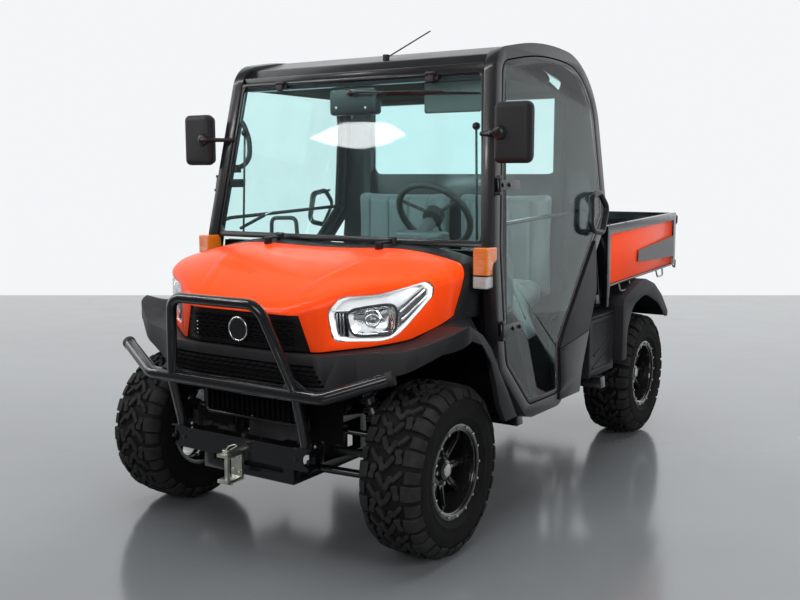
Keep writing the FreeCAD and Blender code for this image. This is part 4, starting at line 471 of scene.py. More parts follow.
def surfaced(material, shader):
    """Gives a material this shader for its whole surface."""
    wired(material, (shader, material.node_tree.nodes["Material Output"].inputs["Surface"]))
    return material


def finish(name, colour, rough, metal=0.0, coat=0.0, grain=0.0, grain_size=500.0, mottle=0.08, mottle_size=7.0,
           rough_spread=0.06, sheen=0.0, coat_rough=0.04, shine=0.5):
    """A painted, moulded or metal surface with its own grain, shade and gloss variation."""
    material = started(name, {"Metallic": metal, "Specular IOR Level": shine, "Coat Weight": coat,
                              "Coat Roughness": coat_rough, "Sheen Weight": sheen})
    shader = shader_of(material)
    place = own_place(material)
    cloud = added(material, "ShaderNodeTexNoise", {"Scale": mottle_size, "Detail": 6.0})
    ramp = added(material, "ShaderNodeValToRGB")
    for stop, position, share in zip(ramp.color_ramp.elements, (0.3, 0.7), (1.0 - mottle, 1.0 + mottle)):
        stop.position = position
        stop.color = [min(1.0, part * share) for part in colour] + [1.0]
    haze = added(material, "ShaderNodeTexNoise", {"Scale": mottle_size * 6.0, "Detail": 4.0})
    spread = added(material, "ShaderNodeMapRange", {"To Min": max(0.02, rough - rough_spread),
                                                    "To Max": min(1.0, rough + rough_spread)})
    wired(material, (place, cloud.inputs["Vector"]), (cloud.outputs["Fac"], ramp.inputs["Fac"]),
          (ramp.outputs["Color"], shader.inputs["Base Color"]), (place, haze.inputs["Vector"]),
          (haze.outputs["Fac"], spread.inputs["Value"]), (spread.outputs["Result"], shader.inputs["Roughness"]))
    if grain:
        pebbles = added(material, "ShaderNodeTexNoise", {"Scale": grain_size, "Detail": 3.0})
        wired(material, (place, pebbles.inputs["Vector"]))
        bumped(material, pebbles.outputs["Fac"], grain, 0.001)
    return material


def creased(material):
    """Adds the soft ridge that runs back over each side of the hood."""
    apart = added(material, "ShaderNodeSeparateXYZ")
    height, fade = [
        added(material, "ShaderNodeMapRange", values, interpolation_type="SMOOTHERSTEP") for values in (
            {"From Max": RIDGE_HALF_WIDTH, "To Min": 1.0, "To Max": 0.0},
            {"From Min": RIDGE_FRONT, "From Max": RIDGE_FRONT + RIDGE_FADE})]
    wired(material, (own_place(material), apart.inputs["Vector"]))
    across = counted(material, "ABSOLUTE", apart.outputs["X"])
    line = counted(material, "MULTIPLY_ADD", apart.outputs["Y"], RIDGE_SLOPE, RIDGE_START)
    gap = counted(material, "ABSOLUTE", counted(material, "SUBTRACT", across, line))
    wired(material, (gap, height.inputs["Value"]), (apart.outputs["Y"], fade.inputs["Value"]))
    ridge = counted(material, "MULTIPLY", height.outputs["Result"], fade.outputs["Result"])
    return bumped(material, ridge, 1.0, RIDGE_HEIGHT)


def leather_grain(material, size=420.0, strength=0.35):
    """Adds the creased cells of vinyl to a finish."""
    cells = added(material, "ShaderNodeTexVoronoi", {"Scale": size}, feature="DISTANCE_TO_EDGE")
    wired(material, (own_place(material), cells.inputs["Vector"]))
    return bumped(material, cells.outputs["Distance"], strength, 0.0006)


def glazing(name, tint, shade):
    """Tinted glass whose shadow lets light through."""
    material = finish(name, tint, 0.03, mottle=0.02, rough_spread=0.01)
    shader = shader_of(material)
    shader.inputs["Transmission Weight"].default_value = 1.0
    shader.inputs["IOR"].default_value = GLASS_IOR
    path = added(material, "ShaderNodeLightPath")
    through = added(material, "ShaderNodeBsdfTransparent", {"Color": list(shade) + [1.0]})
    return surfaced(material, mixed(material, path.outputs["Is Shadow Ray"], shader.outputs["BSDF"],
                                    through.outputs["BSDF"]))


def ribbed_lens(name, colour, clear):
    """Coloured lamp lens with fine ribs moulded in."""
    material = finish(name, colour, 0.12, coat=1.0, mottle=0.05)
    shader = shader_of(material)
    shader.inputs["Transmission Weight"].default_value = clear
    shader.inputs["IOR"].default_value = LENS_IOR
    ribs = added(material, "ShaderNodeTexWave", {"Scale": LENS_RIBS}, bands_direction="Z")
    wired(material, (own_place(material), ribs.inputs["Vector"]))
    return bumped(material, ribs.outputs["Fac"], 0.6, 0.002)


orange_gloss = finish("orange_gloss", (0.97, 0.068, 0.007), 0.3, coat=0.14, grain=0.04, grain_size=260.0,
                      mottle=0.03, mottle_size=2.5, coat_rough=0.05, shine=0.1)
hood_orange = creased(finish("hood_orange", (0.97, 0.068, 0.007), 0.3, coat=0.14, mottle=0.03,
                             mottle_size=2.5, coat_rough=0.05, shine=0.1))
moulded_black = finish("moulded_black", (0.014, 0.014, 0.0155), 0.5, grain=0.32, grain_size=900.0,
                       mottle=0.16, mottle_size=5.0, shine=0.35)
smooth_black = finish("smooth_black", (0.009, 0.009, 0.0105), 0.3, coat=0.3, grain=0.03, grain_size=420.0,
                      mottle=0.12, coat_rough=0.12, shine=0.35)
frame_black = finish("frame_black", (0.005, 0.005, 0.006), 0.24, coat=0.6, grain=0.04, grain_size=320.0,
                     mottle=0.12, coat_rough=0.09, shine=0.3)
dull_black = finish("dull_black", (0.005, 0.005, 0.005), 0.8, grain=0.2, grain_size=300.0, mottle=0.2,
                    shine=0.08)
grille_black = finish("grille_black", (0.007, 0.007, 0.008), 0.42, grain=0.2, grain_size=700.0, mottle=0.15,
                      shine=0.12)
tyre_side = finish("tyre_side", (0.007, 0.0069, 0.0068), 0.72, grain=0.35, grain_size=380.0, mottle=0.22,
                   mottle_size=12.0, shine=0.2)
tyre_tread = finish("tyre_tread", (0.016, 0.0158, 0.0155), 0.8, grain=0.6, grain_size=260.0, mottle=0.34,
                    mottle_size=26.0, shine=0.3)
rim_gloss = finish("rim_gloss", (0.007, 0.007, 0.0075), 0.16, coat=1.0, grain=0.05, grain_size=200.0,
                   mottle=0.1)
bolt_bright = finish("bolt_bright", (0.72, 0.72, 0.7), 0.28, metal=1.0, grain=0.15, grain_size=900.0,
                     mottle=0.1)
zinc_plate = finish("zinc_plate", (0.62, 0.63, 0.56), 0.34, metal=1.0, grain=0.25, grain_size=180.0,
                    mottle=0.22, mottle_size=30.0)
chrome = finish("chrome", (0.86, 0.87, 0.88), 0.07, metal=1.0, mottle=0.02, rough_spread=0.03)
lamp_silver = finish("lamp_silver", (0.80, 0.81, 0.83), 0.24, metal=0.12, coat=1.0, mottle=0.03, grain=0.04,
                     grain_size=120.0)
lamp_facets = finish("lamp_facets", (0.84, 0.85, 0.86), 0.06, metal=1.0, mottle=0.1, mottle_size=40.0,
                     grain=1.0, grain_size=55.0, rough_spread=0.04)
lamp_smoke = finish("lamp_smoke", (0.22, 0.23, 0.24), 0.22, metal=0.9, coat=0.6, mottle=0.06)
cast_metal = finish("cast_metal", (0.10, 0.10, 0.105), 0.55, metal=0.75, grain=0.7, grain_size=220.0,
                    mottle=0.25, mottle_size=14.0)
machined = finish("machined", (0.42, 0.42, 0.43), 0.38, metal=1.0, grain=0.2, grain_size=500.0, mottle=0.12)
seat_vinyl = leather_grain(finish("seat_vinyl", (0.105, 0.118, 0.122), 0.5, mottle=0.07, sheen=0.15))
cabin_grey = leather_grain(finish("cabin_grey", (0.045, 0.047, 0.05), 0.58, mottle=0.12), 700.0, 0.25)
liner_grey = finish("liner_grey", (0.11, 0.118, 0.115), 0.85, grain=0.1, grain_size=260.0, mottle=0.08)
rubber_black = finish("rubber_black", (0.01, 0.01, 0.01), 0.62, grain=0.15, grain_size=500.0, mottle=0.12)
screen_glass = glazing("screen_glass", (0.785, 0.998, 0.992), (0.82, 0.98, 0.97))
side_glass = glazing("side_glass", (0.84, 0.965, 0.95), (0.80, 0.95, 0.92))
lamp_clear = glazing("lamp_clear", (0.97, 0.985, 0.99), (0.97, 0.98, 0.98))
amber_lens = ribbed_lens("amber_lens", (0.95, 0.24, 0.01), 0.35)
white_lens = ribbed_lens("white_lens", (0.82, 0.83, 0.83), 0.45)
red_lens = ribbed_lens("red_lens", (0.42, 0.008, 0.006), 0.25)
mirror_face = finish("mirror_face", (0.9, 0.91, 0.92), 0.02, metal=1.0, mottle=0.01, rough_spread=0.01)
spring_paint = finish("spring_paint", (0.014, 0.014, 0.015), 0.35, coat=0.5, mottle=0.1)
decal_grey = finish("decal_grey", (0.035, 0.036, 0.04), 0.42, coat=0.3, mottle=0.04)


# ---------------------------------------------------------------- built solids, finished

plain_solids = (
    ("chassis_frame", frame_black, "frame_paint", 0.0015),
    ("engine_block", cast_metal, "engine_metal", 0.006),
    ("drive_shafts", cast_metal, "engine_metal", 0.003),
    ("suspension_arms", frame_black, "frame_paint", 0.0),
    ("shock_absorbers", machined, "bare_metal", 0.001),
    ("rear_hubs", cast_metal, "bare_metal", 0.0015),
    ("knuckle_left", cast_metal, "bare_metal", 0.0015),
    ("knuckle_right", cast_metal, "bare_metal", 0.0015),
    ("front_guard", frame_black, "frame_paint", 0.0),
    ("hitches", zinc_plate, "bare_metal", 0.0015),
    ("fascia", moulded_black, "black_plastic", 0.0015),
    ("front_fenders", moulded_black, "black_plastic", 0.0015),
    ("hood", hood_orange, "hood_plastic", 0.0015),
    ("hood_hinges", smooth_black, "black_plastic", 0.001),
    ("cowl", moulded_black, "black_plastic", 0.002),
    ("floor_tub", dull_black, "frame_paint", 0.001),
    ("dashboard", cabin_grey, "black_plastic", 0.012),
    ("steering_column", cabin_grey, "black_plastic", 0.003),
    ("steering_wheel", rubber_black, "soft_rubber", 0.002),
    ("cab_frame", smooth_black, "frame_paint", 0.003),
    ("roof", smooth_black, "black_plastic", 0.004),
    ("windscreen_frame", smooth_black, "frame_paint", 0.002),
    ("windscreen_glass", screen_glass, "clear_glass", 0.0),
    ("rear_wall", smooth_black, "frame_paint", 0.001),
    ("rear_window", screen_glass, "clear_glass", 0.0),
    ("mirrors", moulded_black, "black_plastic", 0.001),
    ("antenna", rubber_black, "black_plastic", 0.0),
    ("rear_fenders", moulded_black, "black_plastic", 0.0015),
    ("cargo_bed", frame_black, "frame_paint", 0.002),
    ("bed_side_panels", orange_gloss, "hood_plastic", 0.003),
    ("tailgate", frame_black, "frame_paint", 0.002),
    ("lift_barrel", frame_black, "frame_paint", 0.001),
    ("lift_rod", chrome, "rod_chrome", 0.0005),
    ("door_frame_left", smooth_black, "frame_paint", 0.0015),
    ("door_frame_right", smooth_black, "frame_paint", 0.0015),
    ("door_glass_left", side_glass, "clear_glass", 0.0),
    ("door_glass_right", side_glass, "clear_glass", 0.0),
    ("door_handle_left", smooth_black, "black_plastic", 0.002),
    ("door_handle_right", smooth_black, "black_plastic", 0.002),
)
for node, material, slot, edge in plain_solids:
    carried(dressed(node, material, edge), carriers[node], slot, node)


# ---------------------------------------------------------------- floor, light and camera

CAMERA_PLACE = (2.3517, -3.9101, 1.3838)
CAMERA_TILT = math.radians(90.0 - 7.52)
CAMERA_HEADING = math.radians(32.67)
SENSOR_WIDTH = 36.0
LENS_LENGTH = 43.05
WALL_DISTANCE = 10.9
WALL_HEIGHT = 14.0
STUDIO_WIDTH = 60.0
SKY = (0.95, 0.97, 1.0, 1.0)
BACKGROUND = (0.93, 0.95, 0.96, 1.0)
SKY_LIGHT = 0.27
SKY_IN_GLOSS = 0.17
PATCH_MIDDLE = Vector((-1.963, -3.28, 2.632))
PATCH_AIM = Vector((0.574, 0.757, -0.311)).normalized()
PATCH_OUTLINE = ((-0.362, -0.098), (-0.13, 0.069), (0.04, 0.108), (0.203, 0.134), (0.354, 0.079),
                 (0.214, -0.031), (0.043, -0.101), (-0.185, -0.12))
STRIP_CORNERS = ((-5.4, -3.25, 4.2), (-1.2, -3.25, 4.2), (-1.2, -2.9, 4.2), (-5.4, -2.9, 4.2))
PATCH_GLOW = 26.0
STRIP_GLOW = 20.0
# Each lamp: its name, place, aim, size and power, and whether it shows in gloss
LAMPS = (
    ("lamp_over", (0.3, -0.2, 4.6), (0.0, 0.0, 0.6), (6.0, 3.6), 270.0, False),
    ("lamp_front", (1.5, -6.6, 3.0), (0.0, -0.3, 0.8), (3.4, 2.4), 95.0, True),
    ("lamp_left", (6.2, -1.6, 3.2), (0.0, -0.2, 0.8), (3.6, 2.4), 225.0, False),
    ("lamp_side", (-5.5, -3.0, 3.2), (0.0, 0.0, 0.8), (3.0, 2.4), 60.0, True),
    ("lamp_back", (-1.2, 6.4, 3.8), (0.0, 0.6, 0.8), (4.0, 2.6), 130.0, False))


def wall_surface(colour, rough):
    """The wall shows its own colour to the camera and in gloss and glass, and is clear from behind."""
    material = started("studio_wall", {"Base Color": list(colour) + [1.0], "Roughness": rough})
    path = added(material, "ShaderNodeLightPath").outputs
    seen = counted(material, "MAXIMUM", path["Is Camera Ray"], path["Is Transmission Ray"])
    seen = counted(material, "MAXIMUM", seen, path["Is Glossy Ray"])
    glow = added(material, "ShaderNodeEmission", {"Color": list(colour) + [1.0]})
    behind = added(material, "ShaderNodeNewGeometry").outputs["Backfacing"]
    front = mixed(material, seen, shader_of(material).outputs["BSDF"], glow.outputs["Emission"])
    clear_back = added(material, "ShaderNodeBsdfTransparent").outputs["BSDF"]
    return surfaced(material, mixed(material, behind, front, clear_back))


def glowing_panel(name, corners, strength):
    """A lamp front that shows only in gloss and glass."""
    panel = named(meshed(corners, [range(len(corners))]), name)
    painted(panel, started(name, {"Base Color": (0.9, 0.9, 0.9, 1.0), "Emission Color": (1.0, 1.0, 1.0, 1.0),
                                  "Emission Strength": strength}))
    panel.visible_diffuse = False
    panel.visible_camera = False
    panel.visible_shadow = False


def softboxes():
    """A bright patch for the windscreen, eight-sided, and a strip that lights up the guard's tubes."""
    across = PATCH_AIM.cross(Vector((0.0, 0.0, 1.0))).normalized()
    rise = across.cross(PATCH_AIM)
    patch = [PATCH_MIDDLE + across * a + rise * b for a, b in PATCH_OUTLINE]
    glowing_panel("studio_softbox", patch, PATCH_GLOW)
    glowing_panel("studio_strip", STRIP_CORNERS, STRIP_GLOW)


def surroundings():
    """Soft light from all round, dimmer in gloss, and a white background for the camera."""
    world = bpy.context.scene.world or bpy.data.worlds.new("studio")
    bpy.context.scene.world = world
    world.use_nodes = True
    world.node_tree.nodes.clear()
    output = added(world, "ShaderNodeOutputWorld")
    lit, in_gloss, shown = [
        added(world, "ShaderNodeBackground", {"Color": colour, "Strength": strength}).outputs["Background"]
        for colour, strength in ((SKY, SKY_LIGHT), (SKY, SKY_IN_GLOSS), (BACKGROUND, 1.0))]
    path = added(world, "ShaderNodeLightPath").outputs
    seen = counted(world, "MAXIMUM", path["Is Camera Ray"], path["Is Transmission Ray"])
    unseen = mixed(world, path["Is Glossy Ray"], lit, in_gloss)
    wired(world, (mixed(world, seen, unseen, shown), output.inputs["Surface"]))


def studio():
    """Pale polished floor, white wall, soft lamps and the camera."""
    bpy.ops.mesh.primitive_plane_add(size=STUDIO_WIDTH, location=(0.0, 0.0, 0.0))
    floor = named(bpy.context.object, "studio_floor")
    painted(floor, finish("studio_floor", (0.155, 0.165, 0.171), 0.17, mottle=0.12, mottle_size=0.6,
                          rough_spread=0.05, coat=0.5, coat_rough=0.12))
    forward = Vector((-math.sin(CAMERA_HEADING), math.cos(CAMERA_HEADING), 0.0))
    foot = Vector((CAMERA_PLACE[0], CAMERA_PLACE[1], 0.0)) + forward * WALL_DISTANCE
    bpy.ops.mesh.primitive_plane_add(size=1.0, location=foot + Vector((0.0, 0.0, WALL_HEIGHT / 2)),
                                     rotation=(math.radians(90.0), 0.0, CAMERA_HEADING))
    wall = bpy.context.object
    wall.scale = (STUDIO_WIDTH, WALL_HEIGHT, 1.0)
    settled(wall)
    named(wall, "studio_wall")
    painted(wall, wall_surface((0.90, 0.92, 0.935), 0.9))
    surroundings()
    for name, place, aim, size, power, in_gloss in LAMPS:
        bpy.ops.object.light_add(type="AREA", location=place)
        lamp = bpy.context.object
        lamp.name = name
        lamp.data.shape = "RECTANGLE"
        lamp.data.size, lamp.data.size_y = size
        lamp.data.energy = power
        lamp.rotation_euler = (Vector(place) - Vector(aim)).to_track_quat("Z", "Y").to_euler()
        lamp.visible_glossy = in_gloss
    softboxes()
    bpy.ops.object.camera_add(location=CAMERA_PLACE, rotation=(CAMERA_TILT, 0.0, CAMERA_HEADING))
    camera = bpy.context.object
    camera.data.sensor_width = SENSOR_WIDTH
    camera.data.lens = LENS_LENGTH
    bpy.context.scene.camera = camera
    bpy.context.scene.view_settings.view_transform = "Standard"


# ---------------------------------------------------------------- wheels

PITCHES = 16
TREAD_RADIUS = 0.3195
CROWN_DROP = 0.0075
LUG_SHIFT = 0.025
FOOT_SHARE = 1.1
LUG_EDGE = 0.0016
SPOKE_FOOT = 0.05
SPOKE_LENGTH = 0.096
SPOKE_LEAN = 0.014
SPOKE_TAPER = 0.3
DOG_BONE = ((-1.0, -0.55), (-0.8, -1.0), (-0.35, -0.9), (0.0, -0.62), (0.35, -0.9), (0.8, -1.0), (1.0, -0.55),
            (1.0, 0.55), (0.8, 1.0), (0.35, 0.9), (0.0, 0.62), (-0.35, 0.9), (-0.8, 1.0), (-1.0, 0.55))
BAR_SHAPE = ((-1.0, -0.6), (-0.7, -1.0), (1.0, -0.7), (1.0, 0.6), (0.7, 1.0), (-1.0, 0.7))


def crown(across):
    """Height of the tread above the axle, a little lower towards its shoulders."""
    return TREAD_RADIUS - CROWN_DROP * (abs(across) / 0.1) ** 2


def on_tread(along, across, drop=0.0):
    """A place on the tread: distance along it, distance across it and depth under its top."""
    angle = (along + LUG_SHIFT) / TREAD_RADIUS
    away = crown(across) - drop
    return Vector((across, away * math.sin(angle), away * math.cos(angle)))


def scaled(outline, share):
    """An outline drawn in towards its middle or out from it."""
    middle = sum((Vector(point) for point in outline), Vector((0.0, 0.0))) / len(outline)
    return [middle + (Vector(point) - middle) * share for point in outline]


def tread_block(outline, depth=0.02):
    """One rubber block of the tread, wider at its foot."""
    top = [on_tread(*place) for place in outline]
    foot = [on_tread(*place, depth) for place in scaled(outline, FOOT_SHARE)]
    count = len(outline)
    faces = [range(count), reversed(range(count, count * 2))]
    faces += [(index, index + count, (index + 1) % count + count, (index + 1) % count)
              for index in range(count)]
    return meshed(top + foot, faces)


def tread_outline(shape, along, across, length, width, turn):
    """A block's outline at its place on the flat tread."""
    turn = math.radians(turn)
    points = []
    for p, q in shape:
        p = p * length / 2
        q = q * width / 2
        points.append((along + p * math.cos(turn) - q * math.sin(turn),
                       across + p * math.sin(turn) + q * math.cos(turn)))
    return points


def shoulder_block(start, end, section):
    """Block that wraps from the tread down the side of the tyre."""
    loops = []
    for share in (0.0, 0.5, 1.0):
        angle = (start + (end - start) * share + LUG_SHIFT) / TREAD_RADIUS
        loops.append([(across, away * math.sin(angle), away * math.cos(angle)) for across, away in section])
    return skin(loops, whole=True)


def tyre():
    """All-terrain tyre around an axle at the origin, its outer side towards +X."""
    half = [(0.094, 0.1585), (0.101, 0.164), (0.106, 0.176), (0.1125, 0.186), (0.1185, 0.197), (0.1205, 0.2),
            (0.1205, 0.2045), (0.1195, 0.2065), (0.1225, 0.222), (0.1238, 0.238), (0.122, 0.256),
            (0.1165, 0.274), (0.107, 0.29), (0.092, 0.3), (0.06, 0.3035), (0.03, 0.305), (0.0, 0.3055)]
    big = [(0.068, crown(0.068)), (0.09, crown(0.09)), (0.1015, 0.3085), (0.1095, 0.302), (0.118, 0.289),
           (0.1245, 0.272), (0.121, 0.267), (0.112, 0.28), (0.095, 0.295), (0.068, 0.298)]
    small = [(0.08, crown(0.08) - 0.002), (0.0985, 0.3075), (0.107, 0.301), (0.1155, 0.29), (0.1225, 0.276),
             (0.12, 0.272), (0.111, 0.28), (0.095, 0.294), (0.08, 0.297)]
    profile = half + [(-along, away) for along, away in reversed(half[:-1])]
    carcass = painted(spun(profile, 96, 60.0), tyre_side)
    blocks = []
    for side, shift in ((1.0, 0.0), (-1.0, math.tau * TREAD_RADIUS / PITCHES / 2)):
        for start, end, section in ((-0.052, 0.002, big), (0.0115, 0.0545, small)):
            section = [(across * side, away) for across, away in section]
            blocks.append(shoulder_block(start + shift, end + shift, section))
        for shape, *sizes in (
                (DOG_BONE, -0.026, 0.048, 0.05, 0.026, -16.0), (BAR_SHAPE, 0.031, 0.05, 0.05, 0.017, 38.0),
                (DOG_BONE, 0.004, 0.0165, 0.052, 0.0235, 30.0), (BAR_SHAPE, -0.049, 0.0165, 0.05, 0.02, 30.0)):
            blocks.append(tread_block([(a + shift, b * side) for a, b in tread_outline(shape, *sizes)]))
    tread = rounded(cleaned(joined(blocks, "tread")), LUG_EDGE, angle=40.0, segments=1)
    edit(ringed(tread, PITCHES))
    bpy.ops.mesh.remove_doubles(threshold=0.00001)
    close()
    return joined([carcass, painted(smooth(tread, 40.0), tyre_tread)], "tyre_model")


def rim():
    """Black rim with its bead ring, deep spokes and hub, its outer side towards +X."""
    barrel = ((0.0955, 0.1755), (0.0985, 0.1775), (0.1035, 0.1765), (0.104, 0.172), (0.1035, 0.156),
              (0.1, 0.149), (0.092, 0.1465), (0.06, 0.1455), (0.05, 0.143), (0.0, 0.139), (-0.04, 0.139),
              (-0.085, 0.148), (-0.0955, 0.158), (-0.098, 0.177), (-0.103, 0.1765), (-0.104, 0.171),
              (-0.101, 0.155), (-0.088, 0.152), (-0.04, 0.1455), (0.0, 0.1455), (0.05, 0.15), (0.09, 0.153),
              (0.0945, 0.158))
    bead_ring = ((0.103, 0.1755), (0.1075, 0.174), (0.1095, 0.1685), (0.1095, 0.158), (0.107, 0.1535),
                 (0.103, 0.153))
    hub = ((0.022, 0.0125), (0.022, 0.062), (0.032, 0.0655), (0.043, 0.064), (0.046, 0.058), (0.046, 0.043),
           (0.05, 0.04), (0.066, 0.037), (0.07, 0.031), (0.0715, 0.018), (0.0715, 0.0005), (0.05, 0.0005),
           (0.05, 0.0125))
    cap = ((0.0705, 0.0005), (0.0705, 0.024), (0.0725, 0.023), (0.0735, 0.017), (0.0735, 0.0005))
    bolt = round_bar((0.108, 0.0, 0.1635), (0.1155, 0.0, 0.1635), 0.0056, 0.0012, 6)
    nut = round_bar((0.044, 0.0, 0.0515), (0.06, 0.0, 0.0515), 0.0085, 0.0015, 6)
    spoke = block((0.026, -0.016, 0.05), (0.046, 0.016, 0.146), 0.004)
    for point in spoke.data.vertices:
        share = (point.co.z - SPOKE_FOOT) / SPOKE_LENGTH
        point.co.y *= 1.0 - SPOKE_TAPER * share
        point.co.x += SPOKE_LEAN * share * share
        if abs(point.co.y) < 0.009 and point.co.x > 0.04:
            point.co.x -= 0.004
    rib = block((0.043, -0.0045, 0.066), (0.051, 0.0045, 0.136))
    for point in rib.data.vertices:
        share = (point.co.z - SPOKE_FOOT) / SPOKE_LENGTH
        point.co.x += SPOKE_LEAN * share * share
    return joined(made([
        (spun, rim_gloss, barrel, 96, 40.0), (spun, rim_gloss, bead_ring, 96, 40.0),
        (ringed, bolt_bright, bolt, 16), (ringed, rim_gloss, joined([spoke, rib], "spokes"), 8),
        (spun, rim_gloss, hub, 64, 30.0),
        (spun, bolt_bright, cap, 48, 30.0), (ringed, bolt_bright, nut, 4),
        (round_bar, rubber_black, (0.05, 0.03, 0.139), (0.083, 0.03, 0.135), 0.0035)]), "rim_model")


def wheels():
    """A tyre and a rim at each end of both axles."""
    models = (("tyre", tyre(), "tyre_rubber"), ("rim", rim(), "rim_paint"))
    for side_name, side in SIDES.items():
        for row, y in AXLES.items():
            for kind, model, slot in models:
                name = "%s_%s_%s" % (kind, row, side_name)
                piece = copied(model, name + "_finished")
                placed(piece, (HALF_TRACK * side, y, AXLE_HEIGHT), (0.0, 0.0, math.pi if side < 0 else 0.0))
                carried(piece, "wheel_%s_%s" % (row, side_name), slot, name)
    for kind, model, slot in models:
        bpy.data.objects.remove(model)


# ---------------------------------------------------------------- feeling for built faces

FEEL_FROM = -3.0
FEEL_STEP = 0.003
skins = {}


def ahead(x, y, z):
    """A place given from the front axle: left, back and up."""
    return Vector((x, y + FRONT_AXLE_Y, z))


def meets(node, start, heading):
    """Where a line first meets a built piece."""
    if node not in skins:
        mesh = frame["nodes"][node].data
        skins[node] = BVHTree.FromPolygons([vertex.co for vertex in mesh.vertices],
                                           [tuple(face.vertices) for face in mesh.polygons])
    return skins[node].ray_cast(start, heading)[0]


def front_of(node, x, z):
    """How far back a built piece's face lies for a level line from the front, looking past its slots."""
    for step in (0, 1, -1, 2, -2, 3, -3, 4, -4):
        place = meets(node, Vector((x, FEEL_FROM, z + step * FEEL_STEP)), Vector((0.0, 1.0, 0.0)))
        if place:
            return place.y
    return None


# ---------------------------------------------------------------- front: grille, intake and lamps

RIB_STEPS = 96
RIB_DEPTH = 0.004
RIB_SHARE = 0.62
WAVE_HEIGHT = 0.0011
WAVES = 170.0
WAVE_SHIFT = 1.6


def slat(route, height, depth):
    """A thin level rib that follows a row of places and stands forward of them."""
    rise = Vector((0.0, 0.0, height / 2))
    out = Vector((0.0, -depth, 0.0))
    places = []
    for place in route:
        places += [place - rise, place - rise * 0.5 + out, place + rise * 0.5 + out, place + rise]
    faces = [(corner, corner + 1, corner + 5, corner + 4)
             for row in range(0, len(places) - 4, 4) for corner in range(row, row + 3)]
    return meshed(places, faces)


def wavy_slats(node, low, high, low_reach, high_reach, count, middle):
    """Fine wavy ribs over a slotted panel between two heights."""
    ribs = []
    for row in range(count):
        share = (row + 0.5) / count
        z = low + (high - low) * share
        reach = low_reach + (high_reach - low_reach) * share
        route = []
        for step in range(RIB_STEPS + 1):
            x = reach * (2.0 * step / RIB_STEPS - 1.0)
            y = front_of(node, math.copysign(max(abs(x), middle), x), z)
            if y is not None:
                route.append(Vector((x, y, z + WAVE_HEIGHT * math.sin(x * WAVES + row * WAVE_SHIFT))))
        if len(route) > 2:
            ribs.append(slat(route, (high - low) / count * RIB_SHARE, RIB_DEPTH))
    return painted(smooth(faced_out(joined(ribs, "ribs")), 40.0), grille_black)


def grille():
    """Grille panel with fine wavy ribs, a plain chromed boss and a dull black plate behind it as painted shade.
    """
    panel = dressed("grille", grille_black, 0.001)
    ribs = wavy_slats("grille", 0.776, 0.876, 0.297, 0.262, 14, 0.058)
    ring = [(0.0022 * math.cos(a * math.tau / 10) - 0.001, 0.0425 + 0.0032 * math.sin(a * math.tau / 10))
            for a in range(10)]
    face = ((0.0, 0.0005), (0.0014, 0.0005), (0.0018, 0.03), (0.0006, 0.0385), (0.0, 0.0385))
    boss = joined(made([(spun, chrome, ring, 64, 60.0), (spun, smooth_black, face, 64, 40.0)]), "boss")
    placed(boss, (0.0, front_of("grille", 0.0, 0.824), 0.824), (0.0, 0.0, math.radians(-90.0)))
    # A thin dull black plate just behind the grille: painted shade that shows through its slots.
    back = painted(block((-0.262, -1.272, 0.766), (0.262, -1.268, 0.884), 0.001), dull_black)
    whole = joined([panel, ribs, boss, back], "grille_finished")
    carried(whole, carriers["grille"], "black_plastic", "grille")


def intake():
    """Fine ribs in the lower intake, with a dull black plate behind them as painted shade."""
    ribs = wavy_slats("fascia", 0.648, 0.714, 0.362, 0.332, 9, 0.0)
    # A dull black plate behind the ribs: painted shade that shows between them.
    depth = front_of("fascia", 0.34, 0.68) + 0.012
    back = painted(block((-0.34, depth, 0.642), (0.34, depth + 0.003, 0.72), 0.001), dull_black)
    handed([ribs, back], "intake_ribs", "fascia")


# The left headlamp in its own measures: reach along it, height, and depth behind the lens
LAMP_RUN = Vector((0.8, 0.6, 0.0))
LAMP_OUT = Vector((0.6, -0.8, 0.0))
LAMP_MIDDLE = (0.32, 0.895)
LAMP_FACE = 0.72
LAMP_CLEAR = 1.2
LAMP_EDGE_STEPS = 40
LAMP_EDGE_RANGE = (0.02, 0.3)
LAMP_EDGE_GAP = 0.0008
REFLECTOR_OUTLINE = (
    (0.192, 0.897), (0.214, 0.909), (0.262, 0.918), (0.318, 0.926), (0.348, 0.926), (0.362, 0.914),
    (0.366, 0.892), (0.364, 0.858), (0.358, 0.836), (0.342, 0.826), (0.3, 0.821), (0.24, 0.819),
    (0.216, 0.823), (0.204, 0.842), (0.196, 0.87))
BULB = (0.282, 0.872)
MARKER_OUTLINE = ((0.372, 0.848), (0.384, 0.838), (0.408, 0.862), (0.462, 0.93), (0.484, 0.975), (0.472, 0.985),
                  (0.43, 0.958), (0.378, 0.915))
MARKER_BARS = (((0.378, 0.90), (0.468, 0.978)), ((0.384, 0.872), (0.476, 0.955)), ((0.39, 0.85), (0.45, 0.905)))


def before_lamp(reach, z, out=LAMP_CLEAR):
    """A place before the left headlamp: along it, its height and its distance out."""
    return LAMP_RUN * reach + LAMP_OUT * out + Vector((0.0, FRONT_AXLE_Y, z))


def in_lamp(reach, z, back):
    """A place in the left headlamp: along it, its height and its depth behind the lens."""
    place = meets("headlamps", before_lamp(reach, z), -LAMP_OUT)
    if place is None:
        place = before_lamp(reach, z, LAMP_FACE)
    return place - LAMP_OUT * back


def lamp_loop(outline, back):
    """An outline's places in the left headlamp, all at one depth behind the lens."""
    return [in_lamp(reach, z, back) for reach, z in outline]


def on_ray(distance, angle):
    """Reach and height at a distance from the lens's middle."""
    return LAMP_MIDDLE[0] + distance * math.cos(angle), LAMP_MIDDLE[1] + distance * math.sin(angle)


